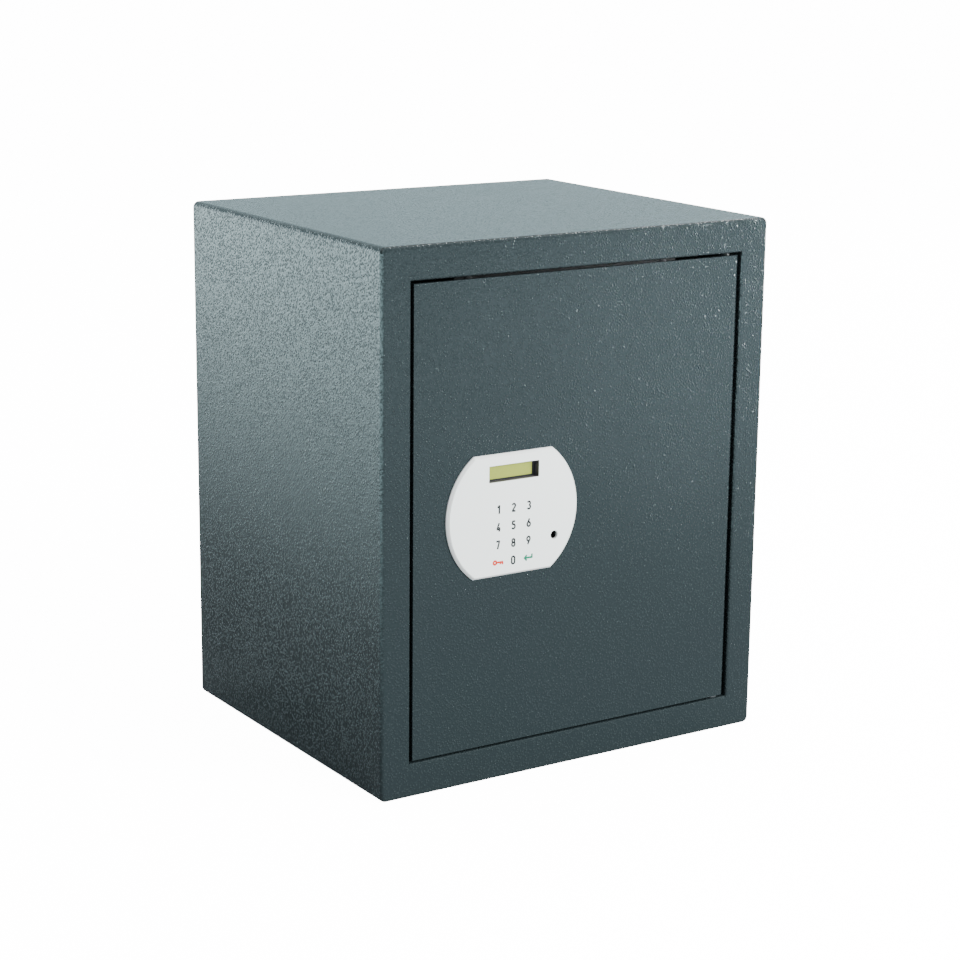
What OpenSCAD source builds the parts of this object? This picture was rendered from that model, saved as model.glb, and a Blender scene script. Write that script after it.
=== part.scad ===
// Electronic furniture safe with an inset door, motor driven bolts and a keypad on the door.
// Millimetres. +Z is up, the door faces -Y, and the origin is the centre of the cabinet's underside.

/* [Cabinet] */
// Width of the cabinet
cab_w = 350; // [330:5:450]
// Height of the cabinet
cab_h = 416; // [400:4:520]
// Depth of the cabinet
cab_d = 300; // [260:5:420]
// Thickness of the cabinet's sheet steel
wall = 2; // [1.5:0.25:2.5]
// Outside radius of the bends along the four long edges
bend_r = 5; // [4:0.5:9]
// Outside radius of the bends round the front face
front_r = 3; // [2.75:0.25:3.75]
// Radius of the ground weld round the back edges
rear_r = 2; // [0.5:0.25:3]
// Thickness of the welded back panel
back_t = 2; // [1.5:0.5:5]

/* [Door opening] */
// Width of the front frame beside the door
frame_side = 25; // [24:1:32]
// Width of the front frame above the door
frame_top = 26; // [24:1:34]
// Width of the front frame below the door
frame_bottom = 27; // [25:1:34]
// Depth of the folded return round the opening
jamb_d = 40; // [38:1:60]
// Radius of the fold at the edge of the opening
lip_r = 2; // [1:0.25:2.5]

/* [Anchors and shelf] */
// Diameter of the anchor holes in the floor and the back
anchor_d = 12; // [8:0.5:14]
// Distance between the two anchor holes of a pair
anchor_pitch = 150; // [100:5:200]
// How far the floor anchors lie behind the middle of the floor
floor_anchor_y = 20; // [0:5:60]
// Height of the back anchors
back_anchor_z = 300; // [250:5:350]
// Height of the shelf's upper face
shelf_z = 206; // [150:2:260]
// Thickness of the shelf sheet
shelf_t = 1.5; // [1:0.25:3]
// Height of the shelf's folded front edge
shelf_lip = 15; // [8:1:25]
// Width of each leg of a shelf rail
rail_leg = 15; // [10:1:20]
// Thickness of a shelf rail
rail_t = 2; // [1.5:0.25:3]
// Thickness of the floor mat
mat_t = 3; // [2:0.5:6]

/* [Door] */
// Gap all round the closed door
door_gap = 2; // [1.75:0.25:2.5]
// Thickness of the door plate
door_t = 4; // [3:0.25:4.5]
// Outside radius of the bend on the door's hinge side
door_bend_r = 5; // [4.75:0.25:6]
// Depth of the door's bent flange on the hinge side
door_flange_d = 16; // [15:1:20]
// Diameter of the hinge pins
pin_d = 6; // [5:0.25:6.5]
// Distance of the hinge axis from the door's front face and from its hinge edge
pin_inset = 8; // [7.75:0.25:8.5]
// Height of each welded hinge block
hinge_block_h = 20; // [14:1:30]
// Thickness of the hinge brackets behind the frame
hinge_bracket_t = 4; // [3:0.5:6]
// Radial clearance of pins, bolts and shafts that run in bores
run_fit = 0.08; // [0.05:0.01:0.1]
// Radial clearance of pins and shafts that are fixed in bores
tight_fit = 0.02; // [0.01:0.01:0.04]

/* [Boltwork] */
// Diameter of the locking bolts
bolt_d = 20; // [16:1:22]
// Distance between the two locking bolts
bolt_pitch = 160; // [155:5:190]
// Length of a locking bolt
bolt_len = 40; // [38:1:48]
// Travel of the boltwork
bolt_travel = 20; // [14:1:20]
// How far the drawn bolts stay inside the door's edge
bolt_inset = 5; // [4:0.5:7]
// Distance of the bolts' axes behind the door plate
bolt_depth = 18; // [16:1:19]
// Thickness of the bolt bar
bar_t = 4; // [3:0.5:5]
// Width of the bolt bar
bar_w = 34; // [34:1:38]
// Thickness of the bolt guide
guide_t = 3; // [2:0.5:4]
// Thickness of the lock chassis
chassis_t = 2; // [1.5:0.25:2.5]
// Height of the spacers under the lock chassis
spacer_h = 10; // [9.5:0.5:10.5]
// Teeth of the drive pinion
pinion_teeth = 16; // [14:1:18]
// Module of the pinion and the rack
gear_module = 1; // [0.8:0.1:1.2]
// Width of the pinion's teeth
pinion_w = 6; // [5:0.5:7]
// Diameter of the drive shaft
shaft_d = 5; // [4:0.5:6]

/* [Keypad] */
// Distance of the keypad's centre to the left of the door's centre
keypad_left = 62; // [60:1:66]
// Height of the keypad's centre above the door's centre
keypad_up = 0.5; // [-10:0.5:10]
// Diameter of the keypad's round outline
keypad_d = 117; // [117:1:125]
// Height of the keypad between its two flats
keypad_h = 94; // [92:1:100]
// How far the keypad stands proud of the door
keypad_proud = 2.5; // [2:0.25:3.5]
// Width of the bevel round the keypad
keypad_bevel = 1.4; // [0.8:0.1:1.8]
// Thickness of the printed front foil
foil_t = 0.4; // [0.2:0.1:0.6]
// Diameter of a key under the foil
key_d = 9; // [8:0.5:9.5]
// Distance between neighbouring keys
key_pitch = 13.6; // [13.2:0.1:14]
// Travel of a key
key_travel = 0.3; // [0.2:0.05:0.4]
// Width of the display window
window_w = 44.5; // [40:0.5:48]
// Height of the display window
window_h = 12.6; // [10:0.2:13]
// Depth of the display below the keypad's front
window_depth = 5; // [4:0.25:5.5]
// Width of the display's visible area
lcd_w = 38.5; // [30:0.5:39]
// Height of the display's visible area
lcd_h = 10; // [8:0.2:10.4]
// Diameter of the hole for the emergency power plug
socket_d = 6.5; // [5.5:0.1:7]

/* [Inner cover and batteries] */
// How far the inner cover stands behind the door plate
cover_d = 46; // [44:1:50]
// Thickness of the inner cover's sheet
cover_t = 1.5; // [1:0.25:2]
// Diameter of a battery cell
cell_d = 14.5; // [14:0.1:15]
// Length of a battery cell
cell_len = 50.5; // [49:0.5:52]
// Thickness of the battery lid
lid_t = 1.5; // [1.2:0.1:2]
// Clearance of the battery lid in its rails
lid_fit = 0.3; // [0.2:0.05:0.4]

/* [Hidden] */
$fn = 48;

// How far a cutter runs past a face, and how far joined shapes reach into each other
past = 1;
sunk = 0.5;

// Paint and material colours
paint = "#44555A";
zinc = "#B9BEC0";
steel = "#8C9194";
black = "#1E1F20";
white = "#E3E8E8";

// Planes of the cabinet
front_y = -cab_d / 2;
back_y = cab_d / 2;
side_x = cab_w / 2 - wall;
frame_back_y = front_y + wall;
jamb_back_y = front_y + jamb_d;
panel_y = back_y - back_t;
seam = 0.8;

// The door opening
open_x0 = -cab_w / 2 + frame_side;
open_x1 = cab_w / 2 - frame_side;
open_z0 = frame_bottom;
open_z1 = cab_h - frame_top;

// The door plate
door_x0 = open_x0 + door_gap;
door_x1 = open_x1 - door_gap;
door_z0 = open_z0 + door_gap;
door_z1 = open_z1 - door_gap;
door_cx = (door_x0 + door_x1) / 2;
door_cz = (door_z0 + door_z1) / 2;
door_back_y = front_y + door_t;
flange_x = door_x1 - door_t;
flange_end_y = front_y + door_flange_d;
door_inner_r = door_bend_r - door_t;

// The hinge axis, with its pins, blocks, brackets and washer
pin_x = door_x1 - pin_inset;
pin_y = front_y + pin_inset;
pin_bore_d = pin_d + 2 * run_fit;
hinge_block_w = 12;
bracket_reach = 14;
bracket_leg = 12;
bracket_fillet = 3;
pin_hole_d = pin_d + 2;
pin_chamfer = 0.8;
block_chamfer = 3;
washer_d = pin_d + 6;
washer_slack = 0.1;

// The angles that stop the door, and the rubber buffers on them
stop_t = 2;
stop_lip = 8;
stop_foot = 18;
stop_fillet = 1.5;
buffer_room = 3;
buffer_slack = 0.3;
buffer_d = 7;
buffer_base_t = 1.5;
buffer_taper = 2;
buffer_inset = 12;
stop_x0 = door_x0 + 38;
stop_x1 = door_x1 - 58;
buffer_xs = [stop_x0 + buffer_inset, stop_x1 - buffer_inset];

// The lock is level with the keypad
keypad_x = door_cx - keypad_left;
keypad_z = door_cz + keypad_up;
lock_z = keypad_z;
bolt_y = door_back_y + bolt_depth;
bolt_tip_x = door_x0 + bolt_inset;
bolt_end_x = bolt_tip_x + bolt_len;
bolt_zs = [lock_z - bolt_pitch / 2, lock_z + bolt_pitch / 2];
bolt_chamfer = 1.5;
strike_clear = 1.2;
strike_t = 4;
strike_reach = 28;
strike_margin = 1;
strike_corner = 4;
window_corner = 1;

// The bar sits in slots in the inner ends of the bolts
bolt_slot_len = 8;
bar_x0 = bolt_end_x - bolt_slot_len;
bar_x1 = bar_x0 + bar_w;
bar_y0 = bolt_y - bar_t / 2;
bar_y1 = bolt_y + bar_t / 2;
bar_overhang = 15;
bar_corner = 4;
arm_corner = 2;
bolt_pin_d = 4;
bolt_pin_x = bar_x0 + bolt_slot_len / 2;
guide_x1 = bar_x0 - bolt_travel - 2;
guide_x0 = guide_x1 - guide_t;
guide_reach = 25;
guide_foot = 14;
guide_back_y = bolt_y + 14;
guide_corner = 2;
guide_fillet = 2;
guide_slot_half_h = 40;
guide_slot_y0 = bolt_y - 6;
guide_slot_y1 = bolt_y + 8;
guide_notch_half_h = 12;

// The chassis lies between the door plate and the bar
chassis_y0 = door_back_y + spacer_h;
chassis_y1 = chassis_y0 + chassis_t;
chassis_x0 = bar_x0 - 5;
chassis_x1 = keypad_x + 122;
chassis_half_h = 62;
chassis_corner = 5;
chassis_flange_h = 10;
spacer_d = 10;
spacer_edge = 8;
spacer_floor = 2;
chassis_screw_d = 4;
chassis_head_d = 7.6;
chassis_head_h = 2.4;
screw_fit = 0.2;
screw_room = 2;
spacer_xs = [chassis_x0 + spacer_edge, chassis_x1 - spacer_edge];
spacer_zs = [lock_z - chassis_half_h + spacer_edge, lock_z + chassis_half_h - spacer_edge];

// Shouldered bushes carry the bar in two slots
bush_d = 6;
bush_x = bar_x0 + 7;
bush_zs = [lock_z - 44, lock_z + 44];
bush_slide = 0.1;
bush_spigot_d = 5;
bush_collar_d = 10;
bush_head_d = 12;
bush_head_h = 2;
bush_head_y = bar_y1 + 0.3;
bush_socket_d = 4;

// Pinion above the rack arm of the bar
tooth_pitch = PI * gear_module;
pressure_angle = 20;
root_depth = 1.25 * gear_module;
pitch_r = gear_module * pinion_teeth / 2;
mesh_gap = 0.12;
tooth_slack = 0.22;
rack_line_z = lock_z + 8;
pinion_x = bar_x1 + 26;
pinion_z = rack_line_z + pitch_r + mesh_gap;
pinion_y0 = bolt_y - pinion_w / 2;
pinion_y1 = bolt_y + pinion_w / 2;
mesh_reach = 11;
rack_x0 = pinion_x - mesh_reach;
rack_x1 = pinion_x + mesh_reach + bolt_travel;
arm_z0 = rack_line_z - 14;

// Gearbox and motor behind the pinion
gearbox_y0 = pinion_y1 + 3;
gearbox_y1 = gearbox_y0 + 18;
gearbox_half_w = 17;
gearbox_z0 = pinion_z - 16;
gearbox_z1 = pinion_z + 32;
gearbox_corner = 4;
gearbox_boss_d = 12;
gearbox_boss_h = 2.7;
leg_d = 7;
leg_xs = [pinion_x - 13, pinion_x + 13];
leg_zs = [pinion_z + 11, gearbox_z1 - 5];
lid_screw_d = 5;
lid_screw_sink = 2;
shaft_depth = 8;
shaft_room = 0.3;
motor_y = (gearbox_y0 + gearbox_y1) / 2;
motor_d = 20;
motor_flat = 15;
motor_len = 27;
motor_z1 = gearbox_z1 + motor_len;
motor_cap_h = 3;
motor_cap_step = 2;
tag_h = 3;
tag_w = 2.4;
tag_t = 0.8;
tag_xs = [pinion_x - 4, pinion_x + 4];

// Control board on bosses of the chassis
board_w = 48;
board_h = 95;
board_t = 1.6;
board_x0 = chassis_x1 - 56;
board_x1 = board_x0 + board_w;
board_z0 = lock_z - 48;
board_z1 = board_z0 + board_h;
chip_h = 1.6;

// The microswitch beside the bar, with its body and its blade
limit_w = 10;
limit_h = 20;
limit_d = 7;
limit_gap = 2;
limit_slack = 0.3;
blade_t = 0.5;
blade_h = 15;
blade_curl = 3;

// The boards' plugs
board_boss_h = 5;
board_boss_d = 6;
board_edge = 4;
board_y0 = chassis_y1 + board_boss_h;
board_y1 = board_y0 + board_t;
plug_h = 6;
plug_w = 12;
plug_d = 5;
plug_inset = 1;
plug_xs = [board_x0 + 12, board_x1 - 12];
plug_rim = 1.5;

// The keypad's planes, from its front to its back
key_front_y = front_y - keypad_proud;
plate_back_y = key_front_y + 2;
pcb_y0 = key_front_y + 9.5;
pcb_y1 = pcb_y0 + board_t;
tub_back_y = pcb_y1 + 2.9;
back_cover_t = 1.5;
pcb_clear = 0.5;
pcb_plug_w = 4;
pcb_plug_h = 2;
tub_wall = 2;
tub_clear = 1;
tub_d = keypad_d - 18;
tub_h = keypad_h - 7;
tub_in_d = tub_d - 2 * tub_wall;
tub_in_h = tub_h - 2 * tub_wall;
foil_edge = 0.5;

// Display, keys and socket on the keypad
lcd_y = key_front_y + window_depth;
window_z = keypad_z + 32.3;
window_rim = 1.5;
lcd_glass_t = 0.8;
keys_z = keypad_z - 15.5;
key_fit = 0.15;
key_slack = 0.1;
key_skirt = 0.7;
skirt_t = 1;
switch_w = 6;
switch_h = 3.4;
switch_nub_h = 0.6;
nub_d = 3.4;
nub_y = pcb_y0 - switch_h - switch_nub_h;
buzzer_d = 12;
buzzer_h = 6;
socket_x = keypad_x + 37;
socket_z = keypad_z - 21.3;
socket_body_d = 8.4;
socket_pin_d = 2;
socket_recess = 2;
socket_floor = 1;

// Screws of the keypad
rim_screw_dx = (keypad_d + tub_d + 2 * tub_clear) / 4;
rim_screw_xs = [keypad_x - rim_screw_dx, keypad_x + rim_screw_dx];
rim_boss_d = 5;
boss_fit = 0.3;
rim_screw_d = 2.5;
rim_screw_len = 4.6;
rim_head_d = 7;
rim_head_h = 2;
rim_bore_depth = 5;
tub_boss_d = 5;
tub_screw_d = 2;
tub_screw_len = 6;
tub_bore_depth = 7;
tub_head_d = 4.4;
tub_head_h = 0.8;
tub_bosses = [[-41, -14], [-41, 14], [41, 6]];

// Ribbon cable from the keypad to the control board
ribbon_t = 0.6;
ribbon_w = 12;
ribbon_x = keypad_x + 36;
ribbon_z = keypad_z - 15;
ribbon_y = board_y1 + plug_h / 2;
ribbon_r = 3;
ribbon_slot = 1;
ribbon_hole_edge = 3;

// The inner cover
cover_back_y = door_back_y + cover_d;
cover_in_y = cover_back_y - cover_t;
cover_x0 = guide_x0 - 3.5;
cover_x1 = pin_x - 20;
cover_z0 = door_z0 + 19;
cover_z1 = door_z1 - 19;
cover_r = 4;
cover_back_r = 2.5;
ear_h = 5;
ear_w = 16;
ear_len = 12;
cover_screw_d = 4;
cover_head_d = 8;
cover_head_h = 2.4;
stud_d = 8;
ear_xs = [cover_x0 + 30, cover_x1 - 30];
ear_zs = [cover_z0 - ear_len / 2, cover_z1 + ear_len / 2];

// The battery tray behind its lid
cell_count = 4;
cell_gap = 0.5;
cell_step = cell_d + cell_gap;
tray_wall = 1.5;
contact_room = 3.5;
tray_in_w = cell_count * cell_step;
tray_in_h = cell_len + 2 * contact_room;
tray_in_d = cell_d + 1;
tray_x = keypad_x + 116;
tray_z = cover_z1 - 48.5;
tray_y0 = cover_in_y - tray_in_d;
cell_y = tray_y0 + cell_d / 2 + 0.2;
cell_cap_h = 1.2;
cell_cap_d = 5.5;
saddle_h = 3;
saddle_half_h = 18;
contact_t = 0.4;
contact_w = 10;
button_d0 = 7;
button_d1 = 4;
cone_d0 = 10;
cone_d1 = 6;
cone_t = 0.7;
lid_over = 3.5;
lid_w = tray_in_w + 2 * lid_over;
lid_h = tray_in_h + 2 * lid_over;
lid_y0 = cover_back_y + lid_fit;
lid_y1 = lid_y0 + lid_t;
grip_w = 20;
grip_h = 0.8;
grip_t = 1.2;
lid_rail_w = 1.4;
lid_rail_lip = 2;

// The leads
lead_d = 1.6;
lead_r = 2;

// The shelf and the floor mat
shelf_y0 = cover_back_y + 10;
shelf_y1 = panel_y - 6;
shelf_play = 1.5;
shelf_rear_lip = 10;
shelf_corner = 2;
ledge_z = shelf_z - shelf_t;
rail_y0 = shelf_y0 + 8;
rail_y1 = shelf_y1 - 4;
mat_margin = 3;
mat_corner = 6;
mat_hole_d = anchor_d + 8;

// Extrudes a drawing along X. The drawing's axes are Y and Z.
module along_x(x0, x1) {
    translate([x0, 0, 0]) rotate([90, 0, 90]) linear_extrude(x1 - x0) children();
}

// Extrudes a drawing along Y. The drawing's axes are X and Z.
module along_y(y0, y1) {
    translate([0, y1, 0]) rotate([90, 0, 0]) linear_extrude(y1 - y0) children();
}

// Extrudes a drawing along Z. The drawing's axes are X and Y.
module along_z(z0, z1) {
    translate([0, 0, z0]) linear_extrude(z1 - z0) children();
}

// Swaps the two axes of a drawing
module swapped() {
    mirror([1, -1, 0]) children();
}

// A block given by two opposite corners
module block(a, b) {
    translate(a) cube(b - a);
}

// A round bar along Y through the point x, z
module rod_y(x, z, y0, y1, d) {
    translate([x, y0, z]) rotate([-90, 0, 0]) cylinder(d = d, h = y1 - y0);
}

// A round bar along X through the point y, z
module rod_x(y, z, x0, x1, d) {
    translate([x0, y, z]) rotate([0, 90, 0]) cylinder(d = d, h = x1 - x0);
}

// A rectangle given by two opposite corners
module rect(a, b) {
    translate(a) square(b - a);
}

// A rectangle with round corners
module round_rect(a, b, r) {
    rect([a.x + r, a.y], [b.x - r, b.y]);
    rect([a.x, a.y + r], [b.x, b.y - r]);
    for (x = [a.x + r, b.x - r], y = [a.y + r, b.y - r]) translate([x, y]) circle(r);
}

// A slot along X with round ends
module slot(x0, x1, z, w) {
    rect([x0, z - w / 2], [x1, z + w / 2]);
    for (x = [x0, x1]) translate([x, z]) circle(d = w);
}

// The keypad's outline: a circle with a flat above and below
module clipped_circle(d, h) {
    translate([keypad_x, keypad_z]) intersection() {
        circle(d = d, $fn = 96);
        square([d + 2, h], center = true);
    }
}

// The cabinet's outline in depth, rounded by rf at the front and by rr at the back
module depth_section(y0, y1, z0, z1, rf, rr) {
    mid = (y0 + y1) / 2;
    rect([y0 + rf, z0], [y1 - rr, z1]);
    rect([y0, z0 + rf], [mid, z1 - rf]);
    rect([mid, z0 + rr], [y1, z1 - rr]);
    if (rf > 0) for (z = [z0 + rf, z1 - rf]) translate([y0 + rf, z]) circle(rf);
    if (rr > 0) for (z = [z0 + rr, z1 - rr]) translate([y1 - rr, z]) circle(rr);
}

// One long edge of such a block: a turned post with rounded ends
module edge_post(y0, y1, r, rf, rr) {
    rotate([-90, 0, 0]) rotate_extrude() intersection() {
        rect([0, y0], [r, y1]);
        swapped() depth_section(y0, y1, -r, r, rf, rr);
    }
}

// A folded box between two corners, its long edges rounded by r, its ends by rf and rr
module folded_box(a, b, r, rf, rr) {
    along_x(a.x + r, b.x - r) depth_section(a.y, b.y, a.z, b.z, rf, rr);
    along_z(a.z + r, b.z - r) swapped() depth_section(a.y, b.y, a.x, b.x, rf, rr);
    for (x = [a.x + r, b.x - r], z = [a.z + r, b.z - r])
        translate([x, 0, z]) edge_post(a.y, b.y, r, rf, rr);
}

// A pan head screw along Y. The head lies from y towards the back, the shank reaches forward.
module screw_y(x, z, y, d, shank, head_d, head_h) {
    rod_y(x, z, y - shank, y + head_h / 3, d);
    difference() {
        rod_y(x, z, y, y + head_h, head_d);
        rod_y(x, z, y + head_h / 2, y + head_h + past, 0.6 * d);
    }
}

function unit(v) = v / norm(v);

// The route of a lead with each corner turned into a short curve
function eased(points, r) = let (last = len(points) - 1) concat(
    [points[0]],
    [for (i = [1 : last - 1]) let (
        p = points[i],
        a = p + r * unit(points[i - 1] - p),
        b = p + r * unit(points[i + 1] - p)
    ) for (q = [a, (a + b) / 4 + p / 2, b]) q],
    [points[last]]);

// A lead of diameter d with eight sides, swept along a route that never runs along Y
module lead(points, d) {
    route = eased(points, lead_r);
    last = len(route) - 1;
    rings = [for (i = [0 : last]) let (
        ahead = unit(route[min(i + 1, last)] - route[max(i - 1, 0)]),
        across = unit(cross(ahead, [0, 1, 0])),
        up = cross(across, ahead)
    ) [for (k = [0 : 7]) route[i] + d / 2 * (cos(45 * k) * across + sin(45 * k) * up)]];
    polyhedron(
        points = [for (ring = rings) each ring],
        faces = concat(
            [[for (k = [0 : 7]) k]],
            [for (i = [1 : last], k = [0 : 7]) let (n = (k + 1) % 8)
                each [[8 * i - 8 + k, 8 * i + k, 8 * i + n],
                    [8 * i - 8 + k, 8 * i + n, 8 * i - 8 + n]]],
            [[for (k = [7 : -1 : 0]) 8 * last + k]]));
}

// What the fold round the opening takes off the frame, drawn outwards from the opening's edge
module lip_section() {
    difference() {
        rect([0, front_y - 1], [lip_r, front_y + lip_r]);
        translate([lip_r, front_y + lip_r]) circle(lip_r);
    }
}

module lip_cut() {
    translate([open_x1, 0, 0]) along_z(open_z0, open_z1) lip_section();
    translate([open_x0, 0, 0]) mirror([1, 0, 0]) along_z(open_z0, open_z1) lip_section();
    translate([0, 0, open_z1]) along_x(open_x0, open_x1) swapped() lip_section();
    translate([0, 0, open_z0]) mirror([0, 0, 1])
        along_x(open_x0, open_x1) swapped() lip_section();
    for (x = [open_x0, open_x1], z = [open_z0, open_z1])
        translate([x, 0, z]) rotate([-90, 0, 0]) rotate_extrude() lip_section();
}

module floor_anchors(d, z0, z1) {
    for (x = [-anchor_pitch / 2, anchor_pitch / 2])
        translate([x, floor_anchor_y, z0]) cylinder(d = d, h = z1 - z0);
}

// The square windows that the bolts enter
module strike_windows(x0, x1) {
    half = bolt_d / 2 + strike_clear;
    for (z = bolt_zs)
        along_x(x0, x1)
            round_rect([bolt_y - half, z - half], [bolt_y + half, z + half], window_corner);
}

// Folded sheet steel wrap with its front frame and the return round the opening
module body_shell() {
    color(paint) difference() {
        union() {
            difference() {
                folded_box([-cab_w / 2, front_y, 0], [cab_w / 2, back_y, cab_h],
                    bend_r, front_r, rear_r);
                folded_box([-side_x, frame_back_y, wall], [side_x, back_y + past, cab_h - wall],
                    bend_r - wall, front_r - wall, 0);
            }
            along_y(front_y + wall / 2, jamb_back_y)
                rect([open_x0 - wall, open_z0 - wall], [open_x1 + wall, open_z1 + wall]);
        }
        along_y(front_y - past, jamb_back_y + past)
            rect([open_x0, open_z0], [open_x1, open_z1]);
        lip_cut();
        strike_windows(open_x0 - wall - past, open_x0 + past);
        floor_anchors(anchor_d, -past, wall + past);
        for (z = [open_z0 - wall - past, open_z1 - past])
            translate([pin_x, pin_y, z]) cylinder(d = pin_hole_d, h = wall + 2 * past);
    }
}

// The back, with its rear edge broken all round where the weld runs
module back_panel() {
    color(paint) difference() {
        hull() {
            along_y(panel_y, back_y - seam)
                round_rect([-side_x, wall], [side_x, cab_h - wall], bend_r - wall);
            along_y(panel_y, back_y) round_rect([-side_x + seam, wall + seam],
                [side_x - seam, cab_h - wall - seam], bend_r - wall);
        }
        for (x = [-anchor_pitch / 2, anchor_pitch / 2])
            rod_y(x, back_anchor_z, panel_y - past, back_y + past, anchor_d);
    }
}

// Thick plates behind the return, one where each bolt enters
module strike_plates() {
    x1 = open_x0 - wall;
    color(paint) difference() {
        along_x(x1 - strike_t, x1)
            for (z = bolt_zs)
                round_rect([frame_back_y + strike_margin, z - strike_reach],
                    [jamb_back_y - strike_margin, z + strike_reach], strike_corner);
        strike_windows(x1 - strike_t - past, x1 + past);
    }
}

// The lower hinge bracket, an angle welded under the return and to the back of the frame
module lower_bracket() {
    z1 = open_z0 - wall;
    z0 = z1 - hinge_bracket_t;
    difference() {
        along_x(pin_x - bracket_reach, pin_x + bracket_reach) {
            rect([frame_back_y, z0], [pin_y + bracket_reach, z1]);
            rect([frame_back_y, z0 - bracket_leg], [frame_back_y + wall, z1]);
            difference() {
                rect([frame_back_y, z0 - bracket_fillet],
                    [frame_back_y + wall + bracket_fillet, z0 + sunk]);
                translate([frame_back_y + wall + bracket_fillet, z0 - bracket_fillet])
                    circle(bracket_fillet);
            }
        }
        translate([pin_x, pin_y, z0 - past])
            cylinder(d = pin_bore_d, h = hinge_bracket_t + 2 * past);
    }
}

module hinge_brackets() {
    color(paint) {
        lower_bracket();
        translate([0, 0, open_z0 + open_z1]) mirror([0, 0, 1]) lower_bracket();
    }
}

module hinge_washer() {
    color(steel) translate([pin_x, pin_y, open_z0]) difference() {
        cylinder(d = washer_d, h = door_gap - washer_slack);
        translate([0, 0, -past]) cylinder(d = pin_bore_d, h = door_gap + 2 * past);
    }
}

// The lower stop, an angle with a lip behind the door's edge
module lower_stop() {
    y = door_back_y + buffer_room;
    r = stop_t + stop_fillet;
    along_x(stop_x0, stop_x1) {
        rect([y, open_z0], [y + stop_t, open_z0 + stop_lip]);
        rect([y, open_z0], [y + stop_foot, open_z0 + stop_t]);
        difference() {
            rect([y + sunk, open_z0 + sunk], [y + r, open_z0 + r]);
            translate([y + r, open_z0 + r]) circle(stop_fillet);
        }
    }
}

module door_stops() {
    color(paint) {
        lower_stop();
        translate([0, 0, open_z0 + open_z1]) mirror([0, 0, 1]) lower_stop();
    }
}

module door_buffers() {
    y1 = door_back_y + buffer_room;
    color(black) for (x = buffer_xs, z = [open_z0 + stop_lip / 2, open_z1 - stop_lip / 2]) {
        rod_y(x, z, y1 - buffer_base_t, y1, buffer_d);
        translate([x, y1 - buffer_base_t, z]) rotate([90, 0, 0]) cylinder(d1 = buffer_d,
            d2 = buffer_d - buffer_taper, h = buffer_room - buffer_base_t - buffer_slack);
    }
}

module shelf_rails() {
    color(paint) for (s = [0, 1]) mirror([s, 0, 0]) along_y(rail_y0, rail_y1) {
        rect([side_x - rail_leg, ledge_z - rail_t], [side_x, ledge_z]);
        rect([side_x - rail_t, ledge_z - rail_leg], [side_x, ledge_z]);
    }
}

// Shelf of folded sheet, its front edge turned down and its back edge turned up
module shelf() {
    x = side_x - shelf_play;
    color(paint) {
        along_z(ledge_z, shelf_z) round_rect([-x, shelf_y0], [x, shelf_y1], shelf_corner);
        along_x(-x + shelf_corner, x - shelf_corner) {
            rect([shelf_y0, shelf_z - shelf_lip], [shelf_y0 + shelf_t, shelf_z]);
            rect([shelf_y1 - shelf_t, ledge_z], [shelf_y1, shelf_z + shelf_rear_lip]);
        }
    }
}

module floor_mat() {
    color("#3A3D3F") difference() {
        along_z(wall, wall + mat_t)
            round_rect([-side_x + mat_margin, jamb_back_y + mat_margin],
                [side_x - mat_margin, panel_y - mat_margin], mat_corner);
        floor_anchors(mat_hole_d, wall - past, wall + mat_t + past);
    }
}

// Section of the door plate with its bend on the hinge side
module door_section() {
    difference() {
        union() {
            rect([door_x0, front_y], [door_x1 - door_bend_r, flange_end_y]);
            rect([door_x0, front_y + door_bend_r], [door_x1, flange_end_y]);
            translate([door_x1 - door_bend_r, front_y + door_bend_r]) circle(door_bend_r);
        }
        rect([door_x0 - past, door_back_y], [flange_x - door_inner_r, flange_end_y + past]);
        rect([door_x0 - past, door_back_y + door_inner_r], [flange_x, flange_end_y + past]);
        translate([flange_x - door_inner_r, door_back_y + door_inner_r]) circle(door_inner_r);
    }
}

module door_panel() {
    color(paint) difference() {
        union() {
            along_z(door_z0, door_z1) door_section();
            for (x = ear_xs, z = ear_zs)
                rod_y(x, z, door_back_y - sunk, door_back_y + ear_h, stud_d);
        }
        along_y(front_y - past, door_back_y + past)
            clipped_circle(tub_d + 2 * tub_clear, tub_h + 2 * tub_clear);
        for (x = rim_screw_xs)
            rod_y(x, keypad_z, front_y - past, door_back_y + past, rim_boss_d + 2 * boss_fit);
        for (x = ear_xs, z = ear_zs)
            rod_y(x, z, door_back_y, door_back_y + ear_h + past, cover_screw_d + 2 * tight_fit);
    }
}

// The block that holds the lower hinge pin, in the corner of the bent flange
module lower_block() {
    c = door_inner_r + 0.2;
    x0 = flange_x - hinge_block_w;
    along_z(door_z0, door_z0 + hinge_block_h) difference() {
        polygon([[x0, door_back_y], [flange_x - c, door_back_y], [flange_x, door_back_y + c],
            [flange_x, flange_end_y], [x0 + block_chamfer, flange_end_y],
            [x0, flange_end_y - block_chamfer]]);
        translate([pin_x, pin_y]) circle(d = pin_d + 2 * tight_fit);
    }
}

module hinge_blocks() {
    color(paint) {
        lower_block();
        translate([0, 0, door_z0 + door_z1]) mirror([0, 0, 1]) lower_block();
    }
}

// The lower hinge pin, from inside its block down through the bracket
module lower_pin() {
    z0 = open_z0 - wall - hinge_bracket_t;
    translate([pin_x, pin_y, z0]) cylinder(d = pin_d, h = door_z0 + hinge_block_h - z0);
    translate([pin_x, pin_y, z0 - pin_chamfer])
        cylinder(d1 = pin_d - 2 * pin_chamfer, d2 = pin_d, h = pin_chamfer);
}

module hinge_pins() {
    color(zinc) {
        lower_pin();
        translate([0, 0, door_z0 + door_z1]) mirror([0, 0, 1]) lower_pin();
    }
}

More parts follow.
